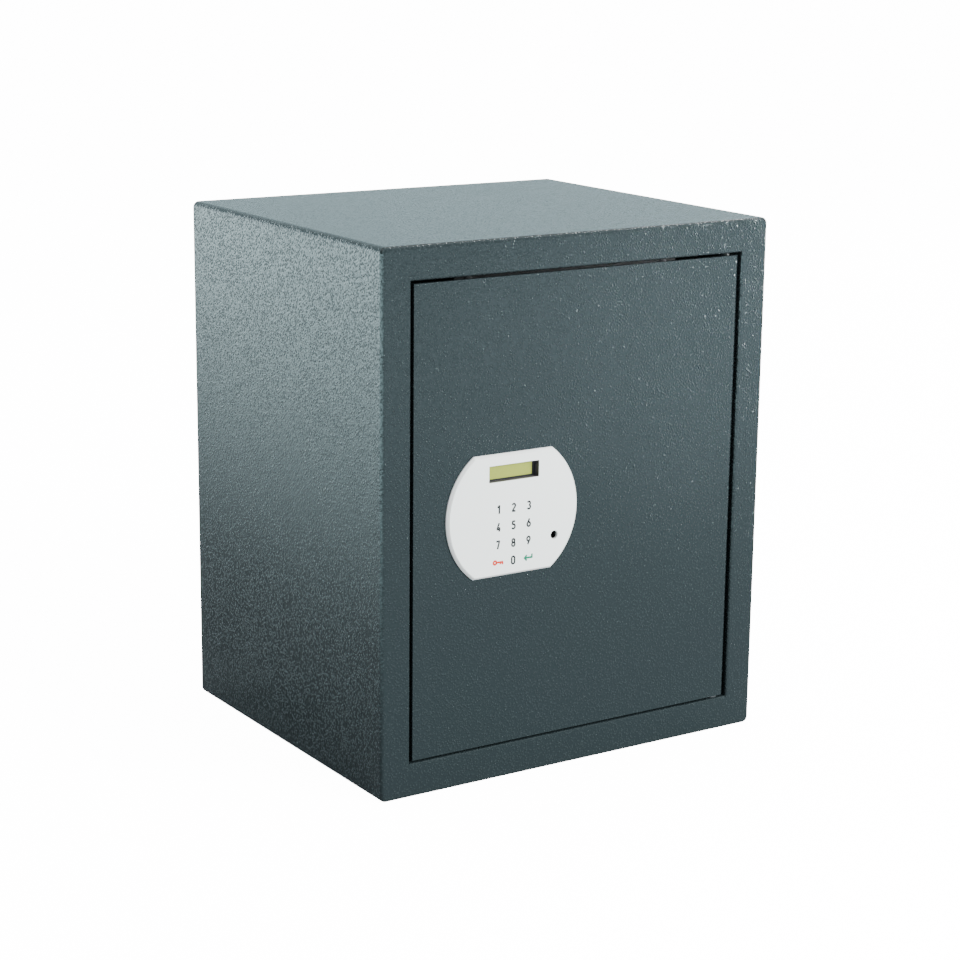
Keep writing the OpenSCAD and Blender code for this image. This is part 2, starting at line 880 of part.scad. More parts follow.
// Angle welded to the door plate, whose bores guide the bolts. Its foot is cut away beside the keypad.
module bolt_guide() {
    z0 = bolt_zs[0] - guide_reach;
    z1 = bolt_zs[1] + guide_reach;
    color(zinc) difference() {
        union() {
            along_x(guide_x0, guide_x1)
                round_rect([door_back_y, z0], [guide_back_y, z1], guide_corner);
            along_z(z0 + guide_corner, z1 - guide_corner) {
                rect([guide_x0, door_back_y], [guide_x1 + guide_foot, door_back_y + guide_t]);
                difference() {
                    rect([guide_x1 - sunk, door_back_y + sunk],
                        [guide_x1 + guide_fillet, door_back_y + guide_t + guide_fillet]);
                    translate([guide_x1 + guide_fillet, door_back_y + guide_t + guide_fillet])
                        circle(guide_fillet);
                }
            }
        }
        for (z = bolt_zs) rod_x(bolt_y, z, guide_x0 - past, guide_x1 + past, bolt_d + 2 * run_fit);
        along_x(guide_x0 - past, guide_x1 + past) round_rect(
            [guide_slot_y0, lock_z - guide_slot_half_h],
            [guide_slot_y1, lock_z + guide_slot_half_h], 4);
        along_y(door_back_y - past, door_back_y + guide_t + guide_fillet + past) rect(
            [guide_x1, keypad_z - guide_notch_half_h],
            [guide_x1 + guide_foot + past, keypad_z + guide_notch_half_h]);
    }
}

// Steel plate that carries the boltwork, the gearbox and the control board
module lock_chassis() {
    z0 = lock_z - chassis_half_h;
    z1 = lock_z + chassis_half_h;
    color(zinc) difference() {
        union() {
            along_y(chassis_y0, chassis_y1)
                round_rect([chassis_x0, z0], [chassis_x1, z1], chassis_corner);
            along_x(chassis_x1 - chassis_t, chassis_x1) rect(
                [chassis_y0, z0 + chassis_corner],
                [chassis_y0 + chassis_flange_h, z1 - chassis_corner]);
            board_bosses(chassis_y1 - sunk, board_y0);
        }
        for (x = spacer_xs, z = spacer_zs)
            rod_y(x, z, chassis_y0 - past, chassis_y1 + past, chassis_screw_d + 2 * screw_fit);
        for (z = bush_zs)
            rod_y(bush_x, z, chassis_y0 - past, chassis_y1 + past,
                bush_spigot_d + 2 * tight_fit);
        rod_y(pinion_x, pinion_z, chassis_y0 - past, chassis_y1 + past, shaft_d + 2 * run_fit);
        along_y(chassis_y0 - past, chassis_y1 + past) round_rect(
            [ribbon_x - ribbon_hole_edge, ribbon_z - ribbon_w / 2 - ribbon_hole_edge],
            [ribbon_x + ribbon_hole_edge, ribbon_z + ribbon_w / 2 + ribbon_hole_edge], 2);
    }
}

module board_bosses(y0, y1) {
    for (x = [board_x0 + board_edge, board_x0 + board_w - board_edge],
        z = [board_z0 + board_edge, board_z0 + board_h - board_edge])
        rod_y(x, z, y0, y1, board_boss_d);
}

module chassis_spacers() {
    color(zinc) for (x = spacer_xs, z = spacer_zs) difference() {
        rod_y(x, z, door_back_y, chassis_y0, spacer_d);
        rod_y(x, z, door_back_y + spacer_floor, chassis_y0 + past,
            chassis_screw_d + 2 * tight_fit);
    }
}

module chassis_screws() {
    color(steel) for (x = spacer_xs, z = spacer_zs)
        screw_y(x, z, chassis_y1, chassis_screw_d,
            chassis_t + spacer_h - spacer_floor - screw_room, chassis_head_d, chassis_head_h);
}

module guide_bushes() {
    color(steel) for (z = bush_zs) {
        rod_y(bush_x, z, chassis_y0, chassis_y1 + sunk, bush_spigot_d);
        rod_y(bush_x, z, chassis_y1, bar_y0 - bush_slide, bush_collar_d);
        rod_y(bush_x, z, bar_y0 - bush_slide - sunk, bush_head_y + sunk, bush_d);
        difference() {
            rod_y(bush_x, z, bush_head_y, bush_head_y + bush_head_h, bush_head_d);
            translate([bush_x, bush_head_y + bush_head_h / 2, z]) rotate([-90, 0, 0])
                cylinder(d = bush_socket_d, h = bush_head_h, $fn = 6);
        }
    }
}

// Worm gearbox on four legs, closed and screwed together
module gearbox() {
    color("#2B2D2F") difference() {
        union() {
            along_y(gearbox_y0, gearbox_y1) round_rect(
                [pinion_x - gearbox_half_w, gearbox_z0],
                [pinion_x + gearbox_half_w, gearbox_z1], gearbox_corner);
            rod_y(pinion_x, pinion_z, gearbox_y0 - gearbox_boss_h, gearbox_y0 + sunk,
                gearbox_boss_d);
            for (x = leg_xs, z = leg_zs) rod_y(x, z, chassis_y1, gearbox_y0 + sunk, leg_d);
        }
        rod_y(pinion_x, pinion_z, gearbox_y0 - gearbox_boss_h - past,
            gearbox_y0 + shaft_depth + shaft_room, shaft_d + 2 * run_fit);
        for (x = leg_xs, z = [gearbox_z0 + gearbox_corner, gearbox_z1 - gearbox_corner])
            rod_y(x, z, gearbox_y1 - lid_screw_sink, gearbox_y1 + past, lid_screw_d);
    }
}

// Flat sided motor can with its end cap and two tags
module motor() {
    color(zinc) {
        along_z(gearbox_z1, motor_z1 - motor_cap_h) motor_outline(motor_d, motor_flat);
        along_z(motor_z1 - motor_cap_h - sunk, motor_z1)
            motor_outline(motor_d - motor_cap_step, motor_flat - motor_cap_step);
        for (x = tag_xs) block([x - tag_w / 2, motor_y - tag_t / 2, motor_z1 - sunk],
            [x + tag_w / 2, motor_y + tag_t / 2, motor_z1 + tag_h]);
    }
}

module motor_outline(d, flat) {
    translate([pinion_x, motor_y]) intersection() {
        circle(d = d);
        square([d + past, flat], center = true);
    }
}

// The keypad's bevelled front plate
module bevelled_plate() {
    r = keypad_d / 2;
    b = keypad_bevel;
    z0 = keypad_z - keypad_h / 2;
    z1 = keypad_z + keypad_h / 2;
    intersection() {
        translate([keypad_x, 0, keypad_z]) rotate([-90, 0, 0]) rotate_extrude($fn = 96)
            polygon([[0, key_front_y], [r - b, key_front_y], [r, key_front_y + b],
                [r, front_y], [0, front_y]]);
        along_x(keypad_x - r - 1, keypad_x + r + 1)
            polygon([[key_front_y, z0 + b], [key_front_y + b, z0], [front_y, z0],
                [front_y, z1], [key_front_y + b, z1], [key_front_y, z1 - b]]);
    }
}

module window_rect(w, h) {
    rect([keypad_x - w / 2, window_z - h / 2], [keypad_x + w / 2, window_z + h / 2]);
}

// The place of a key: columns -1, 0, 1 from the left and rows 0 to 3 from the top
function key_x(column) = keypad_x + column * key_pitch;
function key_z(row) = keys_z + (1.5 - row) * key_pitch;

module at_tub_bosses() {
    for (p = tub_bosses) translate([keypad_x + p.x, 0, keypad_z + p.y]) children();
}

module keypad_housing() {
    color(white) difference() {
        union() {
            bevelled_plate();
            along_y(front_y - sunk, tub_back_y) clipped_circle(tub_d, tub_h);
            for (x = rim_screw_xs)
                rod_y(x, keypad_z, front_y - sunk, door_back_y - boss_fit, rim_boss_d);
        }
        difference() {
            along_y(plate_back_y, tub_back_y + past) clipped_circle(tub_in_d, tub_in_h);
            at_tub_bosses() rod_y(0, 0, plate_back_y - past, tub_back_y, tub_boss_d);
        }
        at_tub_bosses()
            rod_y(0, 0, tub_back_y - tub_bore_depth, tub_back_y + past,
                tub_screw_d + 2 * tight_fit);
        for (x = rim_screw_xs)
            rod_y(x, keypad_z, door_back_y - rim_bore_depth, door_back_y + past,
                rim_screw_d + 2 * tight_fit);
        for (column = [-1 : 1], row = [0 : 3])
            rod_y(key_x(column), key_z(row), key_front_y - past, plate_back_y + past,
                key_d + 2 * key_fit);
        along_y(key_front_y - past, plate_back_y + past)
            window_rect(window_w + 2 * window_rim, window_h + 2 * window_rim);
        rod_y(socket_x, socket_z, key_front_y - past, plate_back_y + past, socket_d);
    }
}

module keypad_foil() {
    inset = 2 * (keypad_bevel + foil_edge);
    color(white) difference() {
        along_y(key_front_y - foil_t, key_front_y)
            clipped_circle(keypad_d - inset, keypad_h - inset);
        along_y(key_front_y - past, key_front_y + past) window_rect(window_w, window_h);
        rod_y(socket_x, socket_z, key_front_y - past, key_front_y + past, socket_d);
    }
}

// Dark frame that lines the display window
module display_bezel() {
    color("#3C3E42") along_y(key_front_y, lcd_y) difference() {
        window_rect(window_w + 2 * window_rim, window_h + 2 * window_rim);
        window_rect(window_w, window_h);
    }
}

module lcd_module() {
    color(black) difference() {
        along_y(lcd_y, pcb_y0)
            window_rect(window_w + 2 * window_rim, window_h + 2 * window_rim);
        along_y(lcd_y - past, lcd_y + lcd_glass_t) window_rect(lcd_w, lcd_h);
    }
}

module lcd_glass() {
    color("#B9BF77") along_y(lcd_y, lcd_y + lcd_glass_t) window_rect(lcd_w, lcd_h);
}

module keypad_pcb() {
    color("#2F6B45") {
        difference() {
            along_y(pcb_y0, pcb_y1)
                clipped_circle(tub_in_d - 2 * pcb_clear, tub_in_h - 2 * pcb_clear);
            at_tub_bosses() rod_y(0, 0, pcb_y0 - past, pcb_y1 + past, tub_boss_d + pcb_clear);
        }
        block([ribbon_x - pcb_plug_w / 2, pcb_y1 - sunk, ribbon_z - ribbon_w / 2 - plug_rim],
            [ribbon_x + pcb_plug_w / 2, pcb_y1 + pcb_plug_h, ribbon_z + ribbon_w / 2 + plug_rim]);
    }
}

module key_switches() {
    color(steel) for (column = [-1 : 1], row = [0 : 3]) {
        x = key_x(column);
        z = key_z(row);
        block([x - switch_w / 2, pcb_y0 - switch_h, z - switch_w / 2],
            [x + switch_w / 2, pcb_y0, z + switch_w / 2]);
        rod_y(x, z, nub_y, pcb_y0 - switch_h + sunk, nub_d);
    }
}

module buzzer() {
    color(black) difference() {
        rod_y(keypad_x - 31, keypad_z + 2, pcb_y0 - buzzer_h, pcb_y0, buzzer_d);
        rod_y(keypad_x - 31, keypad_z + 2, pcb_y0 - buzzer_h - past, pcb_y0 - buzzer_h / 2, 2);
    }
}

// Socket for the plug of an emergency power supply
module power_socket() {
    color(black) {
        difference() {
            rod_y(socket_x, socket_z, plate_back_y, pcb_y0, socket_body_d);
            rod_y(socket_x, socket_z, plate_back_y - past, pcb_y0 - socket_floor, socket_d);
        }
        rod_y(socket_x, socket_z, plate_back_y + socket_recess, pcb_y0 - sunk, socket_pin_d);
    }
}

module keypad_back() {
    color(white) difference() {
        along_y(tub_back_y, tub_back_y + back_cover_t) clipped_circle(tub_d, tub_h);
        at_tub_bosses() rod_y(0, 0, tub_back_y - past, tub_back_y + back_cover_t + past,
            tub_screw_d + 2 * screw_fit);
        along_y(tub_back_y - past, tub_back_y + back_cover_t + past) rect(
            [ribbon_x - ribbon_slot, ribbon_z - ribbon_w / 2 - ribbon_slot],
            [ribbon_x + ribbon_slot, ribbon_z + ribbon_w / 2 + ribbon_slot]);
    }
}

module keypad_screws() {
    color(steel) {
        for (x = rim_screw_xs)
            screw_y(x, keypad_z, door_back_y, rim_screw_d, rim_screw_len,
                rim_head_d, rim_head_h);
        at_tub_bosses() screw_y(0, 0, tub_back_y + back_cover_t, tub_screw_d,
            tub_screw_len + back_cover_t, tub_head_d, tub_head_h);
    }
}

// Flat cable, drawn as its edge and extruded over its width
module ribbon_cable() {
    t = ribbon_t / 2;
    y0 = pcb_y1 + pcb_plug_h;
    color("#9AA0A6") along_z(ribbon_z - ribbon_w / 2, ribbon_z + ribbon_w / 2) {
        rect([ribbon_x - t, y0], [ribbon_x + t, ribbon_y - ribbon_r]);
        rect([ribbon_x + ribbon_r, ribbon_y - t], [board_x0 + plug_inset, ribbon_y + t]);
        intersection() {
            rect([ribbon_x - past, ribbon_y - ribbon_r], [ribbon_x + ribbon_r, ribbon_y + past]);
            difference() {
                translate([ribbon_x + ribbon_r, ribbon_y - ribbon_r]) circle(ribbon_r + t);
                translate([ribbon_x + ribbon_r, ribbon_y - ribbon_r]) circle(ribbon_r - t);
            }
        }
    }
}

// Circuit board with its plugs, processor, driver and capacitor
module control_board() {
    y = board_y1 - sunk;
    color("#2F6B45") {
        along_y(board_y0, board_y1) round_rect([board_x0, board_z0], [board_x1, board_z1], 2);
        block([board_x0 + plug_inset, y, ribbon_z - ribbon_w / 2 - plug_rim], [
            board_x0 + plug_inset + plug_d, board_y1 + plug_h, ribbon_z + ribbon_w / 2 + plug_rim]);
        for (x = plug_xs) block([x - plug_w / 2, y, board_z1 - plug_d],
            [x + plug_w / 2, board_y1 + plug_h, board_z1]);
        block([board_x0 + 18, y, board_z0 + 20],
            [board_x0 + 30, board_y1 + chip_h, board_z0 + 32]);
        block([board_x0 + 16, y, board_z0 + 50],
            [board_x0 + 24, board_y1 + chip_h, board_z0 + 64]);
        rod_y(board_x1 - 10, board_z0 + 55, y, board_y1 + 11, 8);
        rod_y(board_x1 - 9, board_z0 + 16, y, board_y1 + 7, 6);
    }
}

// Microswitch that tells when the bar is drawn back
module limit_switch() {
    x0 = bar_x1 + limit_gap;
    z0 = lock_z - 38;
    tip = x0 - limit_gap + limit_slack;
    color(black) {
        block([x0, chassis_y1, z0], [x0 + limit_w, chassis_y1 + limit_d, z0 + limit_h]);
        along_y(bar_y0, bar_y1 - 1) polygon([
            [x0 + blade_t / 2, z0 + 1], [x0 - blade_t / 2, z0 + 1], [tip, z0 + blade_h],
            [tip + 1, z0 + blade_h + blade_curl], [tip + 1 + blade_t, z0 + blade_h + blade_curl],
            [tip + blade_t, z0 + blade_h], [x0 + blade_t / 2, z0 + blade_curl]]);
    }
}

module tray_rect(w, h) {
    rect([tray_x - w / 2, tray_z - h / 2], [tray_x + w / 2, tray_z + h / 2]);
}

module battery_box() {
    color(black) {
        difference() {
            along_y(tray_y0 - tray_wall, cover_in_y)
                tray_rect(tray_in_w + 2 * tray_wall, tray_in_h + 2 * tray_wall);
            along_y(tray_y0, cover_in_y + past) tray_rect(tray_in_w, tray_in_h);
        }
        for (i = [1 : cell_count - 1]) translate([tray_x + (i - cell_count / 2) * cell_step, 0, 0])
            along_z(tray_z - saddle_half_h, tray_z + saddle_half_h) polygon([
                [-saddle_h, tray_y0 - sunk], [saddle_h, tray_y0 - sunk],
                [0.1, tray_y0 + saddle_h], [-0.1, tray_y0 + saddle_h]]);
    }
}

function cell_x(i) = tray_x + (i - (cell_count - 1) / 2) * cell_step;

// Places its children at the middle of each cell, every second one upside down
module at_cells() {
    for (i = [0 : cell_count - 1]) translate([cell_x(i), cell_y, tray_z])
        mirror([0, 0, i % 2]) children();
}

module battery_cells() {
    color("#B08A3C") at_cells() {
        translate([0, 0, -cell_len / 2]) cylinder(d = cell_d, h = cell_len - cell_cap_h);
        translate([0, 0, cell_len / 2 - cell_cap_h - sunk])
            cylinder(d = cell_cap_d, h = cell_cap_h + sunk);
    }
}

// A button contact above each cell and a cone spring contact below it
module battery_contacts() {
    color(zinc) at_cells() {
        end = cell_len / 2;
        far = tray_in_h / 2;
        w = contact_w / 2;
        block([-w, -w, far - contact_t], [w, w, far]);
        translate([0, 0, end])
            cylinder(d1 = button_d1, d2 = button_d0, h = far - end - contact_t / 2);
        block([-w, -w, -far], [w, w, -far + contact_t]);
        difference() {
            translate([0, 0, -far]) cylinder(d1 = cone_d0, d2 = cone_d1, h = far - end);
            translate([0, 0, -far + contact_t]) cylinder(d1 = cone_d0 - 2 * cone_t,
                d2 = cone_d1 - 2 * cone_t, h = far - end);
        }
    }
}

// Leads from the batteries and from the motor to the plugs of the control board
module wire_leads() {
    z0 = tray_z - tray_in_h / 2 - tray_wall;
    step = (z0 - board_z1) / 3;
    plug_y = board_y1 + plug_h / 2;
    color("#A33A2E") {
        for (x = [plug_xs[1] - 2, plug_xs[1] + 2])
            lead([[x, cell_y, z0], [x, cell_y, z0 - step], [x, plug_y, board_z1 + step],
                [x, plug_y, board_z1]], lead_d);
        for (i = [0, 1]) let (
            from_x = tag_xs[1 - i],
            to_x = plug_xs[0] - 2 + 4 * i,
            top_z = motor_z1 + 9 + 4 * i
        ) lead([[from_x, motor_y, motor_z1 + tag_h], [from_x, motor_y, top_z],
            [to_x, motor_y - 3, top_z], [to_x, plug_y, board_z1 + 16], [to_x, plug_y, board_z1]],
            lead_d);
    }
}

// The rails that hold the battery lid, with a stop at their upper end
module lid_rails() {
    x = lid_w / 2 + lid_fit;
    z0 = tray_z - lid_h / 2;
    z1 = tray_z + lid_h / 2;
    y1 = lid_y1 + lid_fit + cover_t;
    for (s = [0, 1]) translate([tray_x, 0, 0]) mirror([s, 0, 0]) along_z(z0, z1) {
        rect([x, cover_back_y - sunk], [x + lid_rail_w, y1]);
        rect([x - lid_rail_lip, y1 - cover_t], [x + lid_rail_w, y1]);
    }
    block([tray_x - x - lid_rail_w, cover_back_y - sunk, z1 + lid_fit],
        [tray_x + x + lid_rail_w, y1, z1 + lid_fit + lid_rail_w]);
}

// Folded cover over the boltwork, with a window over the batteries
module inner_cover() {
    a = [cover_x0, door_back_y, cover_z0];
    b = [cover_x1, cover_back_y, cover_z1];
    t = [cover_t, 0, cover_t];
    color(paint) difference() {
        union() {
            difference() {
                folded_box(a, b, cover_r, 0, cover_back_r);
                folded_box(a + t - [0, past, 0], b - t - [0, cover_t, 0],
                    cover_r - cover_t, 0, cover_back_r - cover_t);
            }
            for (x = ear_xs, z = [cover_z0 - ear_len, cover_z1 - cover_t])
                along_y(door_back_y + ear_h, door_back_y + ear_h + cover_t)
                    round_rect([x - ear_w / 2, z], [x + ear_w / 2, z + ear_len + cover_t], 1);
            lid_rails();
        }
        for (z = bolt_zs)
            rod_x(bolt_y, z, cover_x0 - past, cover_x0 + cover_t + past,
                bolt_d + 2 * strike_clear);
        for (x = ear_xs, z = ear_zs)
            rod_y(x, z, door_back_y + ear_h - past, door_back_y + ear_h + cover_t + past,
                cover_screw_d + 2 * screw_fit);
        along_y(cover_in_y - past, cover_back_y + past) tray_rect(tray_in_w, tray_in_h);
    }
}

module cover_screws() {
    color(zinc) for (x = ear_xs, z = ear_zs)
        screw_y(x, z, door_back_y + ear_h + cover_t, cover_screw_d,
            ear_h + cover_t - sunk, cover_head_d, cover_head_h);
}

module battery_lid() {
    color(black) {
        along_y(lid_y0, lid_y1) round_rect(
            [tray_x - lid_w / 2, tray_z - lid_h / 2], [tray_x + lid_w / 2, tray_z + lid_h / 2], 1);
        for (i = [0 : 4]) let (z = tray_z + 12 + 3 * i)
            block([tray_x - grip_w / 2, lid_y1 - sunk, z],
                [tray_x + grip_w / 2, lid_y1 + grip_h, z + grip_t]);
    }
}

// The rack's teeth stand on the arm. A gap lies under the pinion when the bar is drawn back.
module rack_teeth() {
    half = tooth_pitch / 4 - tooth_slack / 4;
    foot = half + root_depth * tan(pressure_angle);
    tip = half - gear_module * tan(pressure_angle);
    first = ceil((rack_x0 - pinion_x) / tooth_pitch);
    last = floor((rack_x1 - pinion_x) / tooth_pitch) - 1;
    for (k = [first : last]) translate([pinion_x + (k + 0.5) * tooth_pitch, rack_line_z])
        polygon([[-foot, -root_depth - sunk], [foot, -root_depth - sunk], [foot, -root_depth],
            [tip, gear_module], [-tip, gear_module], [-foot, -root_depth]]);
}

// The bar that joins the two bolts, with its rack arm and the slots for its bushes
module bolt_bar() {
    color(steel) along_y(bar_y0, bar_y1) difference() {
        union() {
            round_rect([bar_x0, bolt_zs[0] - bar_overhang],
                [bar_x1, bolt_zs[1] + bar_overhang], bar_corner);
            round_rect([bar_x1 - bar_corner - 2 * arm_corner, arm_z0],
                [rack_x1 + arm_corner, rack_line_z - root_depth], arm_corner);
            rack_teeth();
        }
        for (z = bush_zs) slot(bush_x, bush_x + bolt_travel, z, bush_d + 2 * bush_slide);
        for (z = bolt_zs) translate([bolt_pin_x, z]) circle(d = bolt_pin_d + 2 * tight_fit);
        translate([(bar_x0 + bar_x1) / 2, lock_z])
            round_rect([-bar_w / 2 + 8, -24], [bar_w / 2 - 8, 24], 5);
    }
}

module bolt(z) {
    color(zinc) difference() {
        union() {
            rod_x(bolt_y, z, bolt_tip_x + bolt_chamfer, bolt_end_x, bolt_d);
            translate([bolt_tip_x, bolt_y, z]) rotate([0, 90, 0])
                cylinder(d1 = bolt_d - 2 * bolt_chamfer, d2 = bolt_d, h = bolt_chamfer);
        }
        block([bar_x0, bar_y0 - tight_fit, z - bolt_d],
            [bolt_end_x + past, bar_y1 + tight_fit, z + bolt_d]);
        rod_y(bolt_pin_x, z, bolt_y - bolt_d, bolt_y + bolt_d, bolt_pin_d + 2 * tight_fit);
    }
}

module upper_bolt() {
    bolt(bolt_zs[1]);
}

module lower_bolt() {
    bolt(bolt_zs[0]);
}

module bolt_pins() {
    reach = bolt_d / 2 - sunk;
    color(steel) for (z = bolt_zs)
        rod_y(bolt_pin_x, z, bolt_y - reach, bolt_y + reach, bolt_pin_d);
}

// Involute of the base circle, in degrees, at a pressure angle a
function involute(a) = tan(a) * 180 / PI - a;

// Half the angle that a pinion tooth fills at radius q
function tooth_half_angle(q, base_r) = 90 / pinion_teeth
    - tooth_slack / 4 / pitch_r * 180 / PI
    + involute(pressure_angle) - involute(acos(min(1, base_r / q)));

function polar(q, a) = [q * cos(a), q * sin(a)];

// Outline of the pinion. A tooth points straight down.
function pinion_points() = let (
    base_r = pitch_r * cos(pressure_angle),
    tip_r = pitch_r + gear_module,
    root_r = pitch_r - root_depth,
    steps = 3,
    radii = [for (i = [0 : steps]) base_r + (tip_r - base_r) * i / steps]
) [for (tooth = [0 : pinion_teeth - 1]) let (mid = tooth * 360 / pinion_teeth - 90)
    for (p = concat(
        [polar(root_r, mid - tooth_half_angle(base_r, base_r))],
        [for (i = [0 : steps]) polar(radii[i], mid - tooth_half_angle(radii[i], base_r))],
        [for (i = [0 : steps]) polar(radii[steps - i],
            mid + tooth_half_angle(radii[steps - i], base_r))],
        [polar(root_r, mid + tooth_half_angle(base_r, base_r))])) p];

module drive_pinion() {
    color(steel) difference() {
        translate([pinion_x, 0, pinion_z]) along_y(pinion_y0, pinion_y1) polygon(pinion_points());
        rod_y(pinion_x, pinion_z, pinion_y0 - past, pinion_y1 + past, shaft_d + 2 * tight_fit);
    }
}

module drive_shaft() {
    color(zinc) rod_y(pinion_x, pinion_z, chassis_y0 - sunk, gearbox_y0 + shaft_depth, shaft_d);
}

// A key under the foil: its cap, a skirt behind the front plate, and the stem above its switch
module key(column, row) {
    x = key_x(column);
    z = key_z(row);
    skirt_y = plate_back_y + key_slack;
    color("#C9CDCC") {
        rod_y(x, z, key_front_y + key_slack, skirt_y + sunk, key_d);
        rod_y(x, z, skirt_y, skirt_y + skirt_t, key_d + 2 * key_skirt);
        rod_y(x, z, skirt_y + sunk, nub_y - key_travel - key_slack, nub_d);
    }
}

module key_1() { key(-1, 0); }
module key_2() { key(0, 0); }
module key_3() { key(1, 0); }
module key_4() { key(-1, 1); }
module key_5() { key(0, 1); }
module key_6() { key(1, 1); }
module key_7() { key(-1, 2); }
module key_8() { key(0, 2); }
module key_9() { key(1, 2); }
module key_close() { key(-1, 3); }
module key_0() { key(0, 3); }
module key_enter() { key(1, 3); }

body_shell();
back_panel();
strike_plates();
hinge_brackets();
hinge_washer();
door_stops();
door_buffers();
shelf_rails();
shelf();
floor_mat();
door_panel();
hinge_blocks();
hinge_pins();
bolt_guide();
lock_chassis();
chassis_spacers();
chassis_screws();
guide_bushes();
gearbox();
motor();
keypad_housing();
keypad_foil();
display_bezel();
lcd_module();
lcd_glass();
keypad_pcb();
key_switches();
buzzer();
power_socket();
keypad_back();
keypad_screws();
ribbon_cable();
control_board();
limit_switch();
battery_box();
battery_cells();
battery_contacts();
wire_leads();
inner_cover();
cover_screws();
battery_lid();
bolt_bar();
upper_bolt();
lower_bolt();
bolt_pins();
drive_pinion();
drive_shaft();
key_1();
key_2();
key_3();
key_4();
key_5();
key_6();
key_7();
key_8();
key_9();
key_close();
key_0();
key_enter();
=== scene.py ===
from math import cos, pi, sin

import bpy
from mathutils import Matrix, Vector


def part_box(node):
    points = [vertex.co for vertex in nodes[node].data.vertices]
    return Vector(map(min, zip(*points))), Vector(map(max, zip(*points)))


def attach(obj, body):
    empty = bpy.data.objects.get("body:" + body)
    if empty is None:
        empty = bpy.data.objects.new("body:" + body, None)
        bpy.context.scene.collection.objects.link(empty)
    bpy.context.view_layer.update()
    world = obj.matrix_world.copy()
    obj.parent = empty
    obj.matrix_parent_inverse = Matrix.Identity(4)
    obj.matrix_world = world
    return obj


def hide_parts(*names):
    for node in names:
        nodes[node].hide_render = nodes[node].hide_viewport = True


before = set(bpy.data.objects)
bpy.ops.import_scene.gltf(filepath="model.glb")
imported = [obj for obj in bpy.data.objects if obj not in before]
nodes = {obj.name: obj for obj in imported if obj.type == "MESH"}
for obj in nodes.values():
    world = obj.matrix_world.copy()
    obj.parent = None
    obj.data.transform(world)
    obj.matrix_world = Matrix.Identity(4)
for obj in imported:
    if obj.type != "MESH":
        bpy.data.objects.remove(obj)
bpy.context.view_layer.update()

# Cabinet: one folded wrap of 2 mm sheet steel with its front frame and the return round the
# opening. The back, strike plates, hinge brackets, door stops and shelf rails are welded to it.
# All of it is powder coated and baked in one go, as are the loose shelf and the door's sheets.


def linear(code):
    """The linear values of an sRGB hex colour, as a shader socket takes them."""
    parts = [int(code[i:i + 2], 16) / 255 for i in (0, 2, 4)]
    return [c / 12.92 if c <= 0.04045 else ((c + 0.055) / 1.055) ** 2.4 for c in parts] + [1]


def add(material, kind, sockets=None, **settings):
    """Adds a shader node with its settings, and fills its sockets with values or links."""
    made = material.node_tree.nodes.new("ShaderNode" + kind)
    for name, value in settings.items():
        setattr(made, name, value)
    for name, value in (sockets or {}).items():
        if isinstance(value, bpy.types.NodeSocket):
            material.node_tree.links.new(value, made.inputs[name])
        else:
            made.inputs[name].default_value = value
    return made


def start_material(name):
    """An empty material, and the socket that gives each point's place on the object in metres."""
    material = bpy.data.materials.new(name)
    material.use_nodes = True
    material.node_tree.nodes.clear()
    return material, add(material, "TexCoord").outputs["Object"]


def end_material(material, sockets):
    """Closes a material with its surface shader."""
    shader = add(material, "BsdfPrincipled", sockets)
    add(material, "OutputMaterial", {"Surface": shader.outputs["BSDF"]})


def finish_nodes(material, *names):
    """Gives CAD nodes their real finish."""
    for name in names:
        for holder in nodes[name].material_slots:
            holder.material = material


# Textured powder coat, baked epoxy polyester. Its glossy pebbles are about 2 mm across and 0.3 mm
# high, and they break each reflection into fine glints over a dark slate green.
pebble_width, pebble_height = 0.0019, 0.00036
powder_coat, place = start_material("textured_powder_coat")
# A slow wander bends the pebbles' rows by up to 0.8 mm, and a low swell runs over them.
wander = add(powder_coat, "TexNoise", {"Vector": place, "Scale": 1 / 0.0035, "Detail": 1.0})
bent = add(powder_coat, "VectorMath", {0: wander.outputs["Color"], "Scale": 0.0008},
           operation="SCALE")
moved = add(powder_coat, "VectorMath", {0: place, 1: bent.outputs["Vector"]}, operation="ADD")
pebbles = add(powder_coat, "TexVoronoi", {
    "Vector": moved.outputs["Vector"], "Scale": 1 / pebble_width, "Smoothness": 0.5},
    feature="SMOOTH_F1")
domes = add(powder_coat, "MapRange", {
    "Value": pebbles.outputs["Distance"], "From Min": 0.12, "From Max": 0.5,
    "To Min": 1.0, "To Max": 0.0}, interpolation_type="SMOOTHSTEP")
swell = add(powder_coat, "TexNoise", {"Vector": place, "Scale": 1 / 0.0013, "Detail": 0.0})
height = add(powder_coat, "Math", {0: swell.outputs["Fac"], 1: 0.6, 2: domes.outputs["Result"]},
             operation="MULTIPLY_ADD")
bump = add(powder_coat, "Bump", {
    "Strength": 1.0, "Distance": pebble_height, "Height": height.outputs["Value"]})
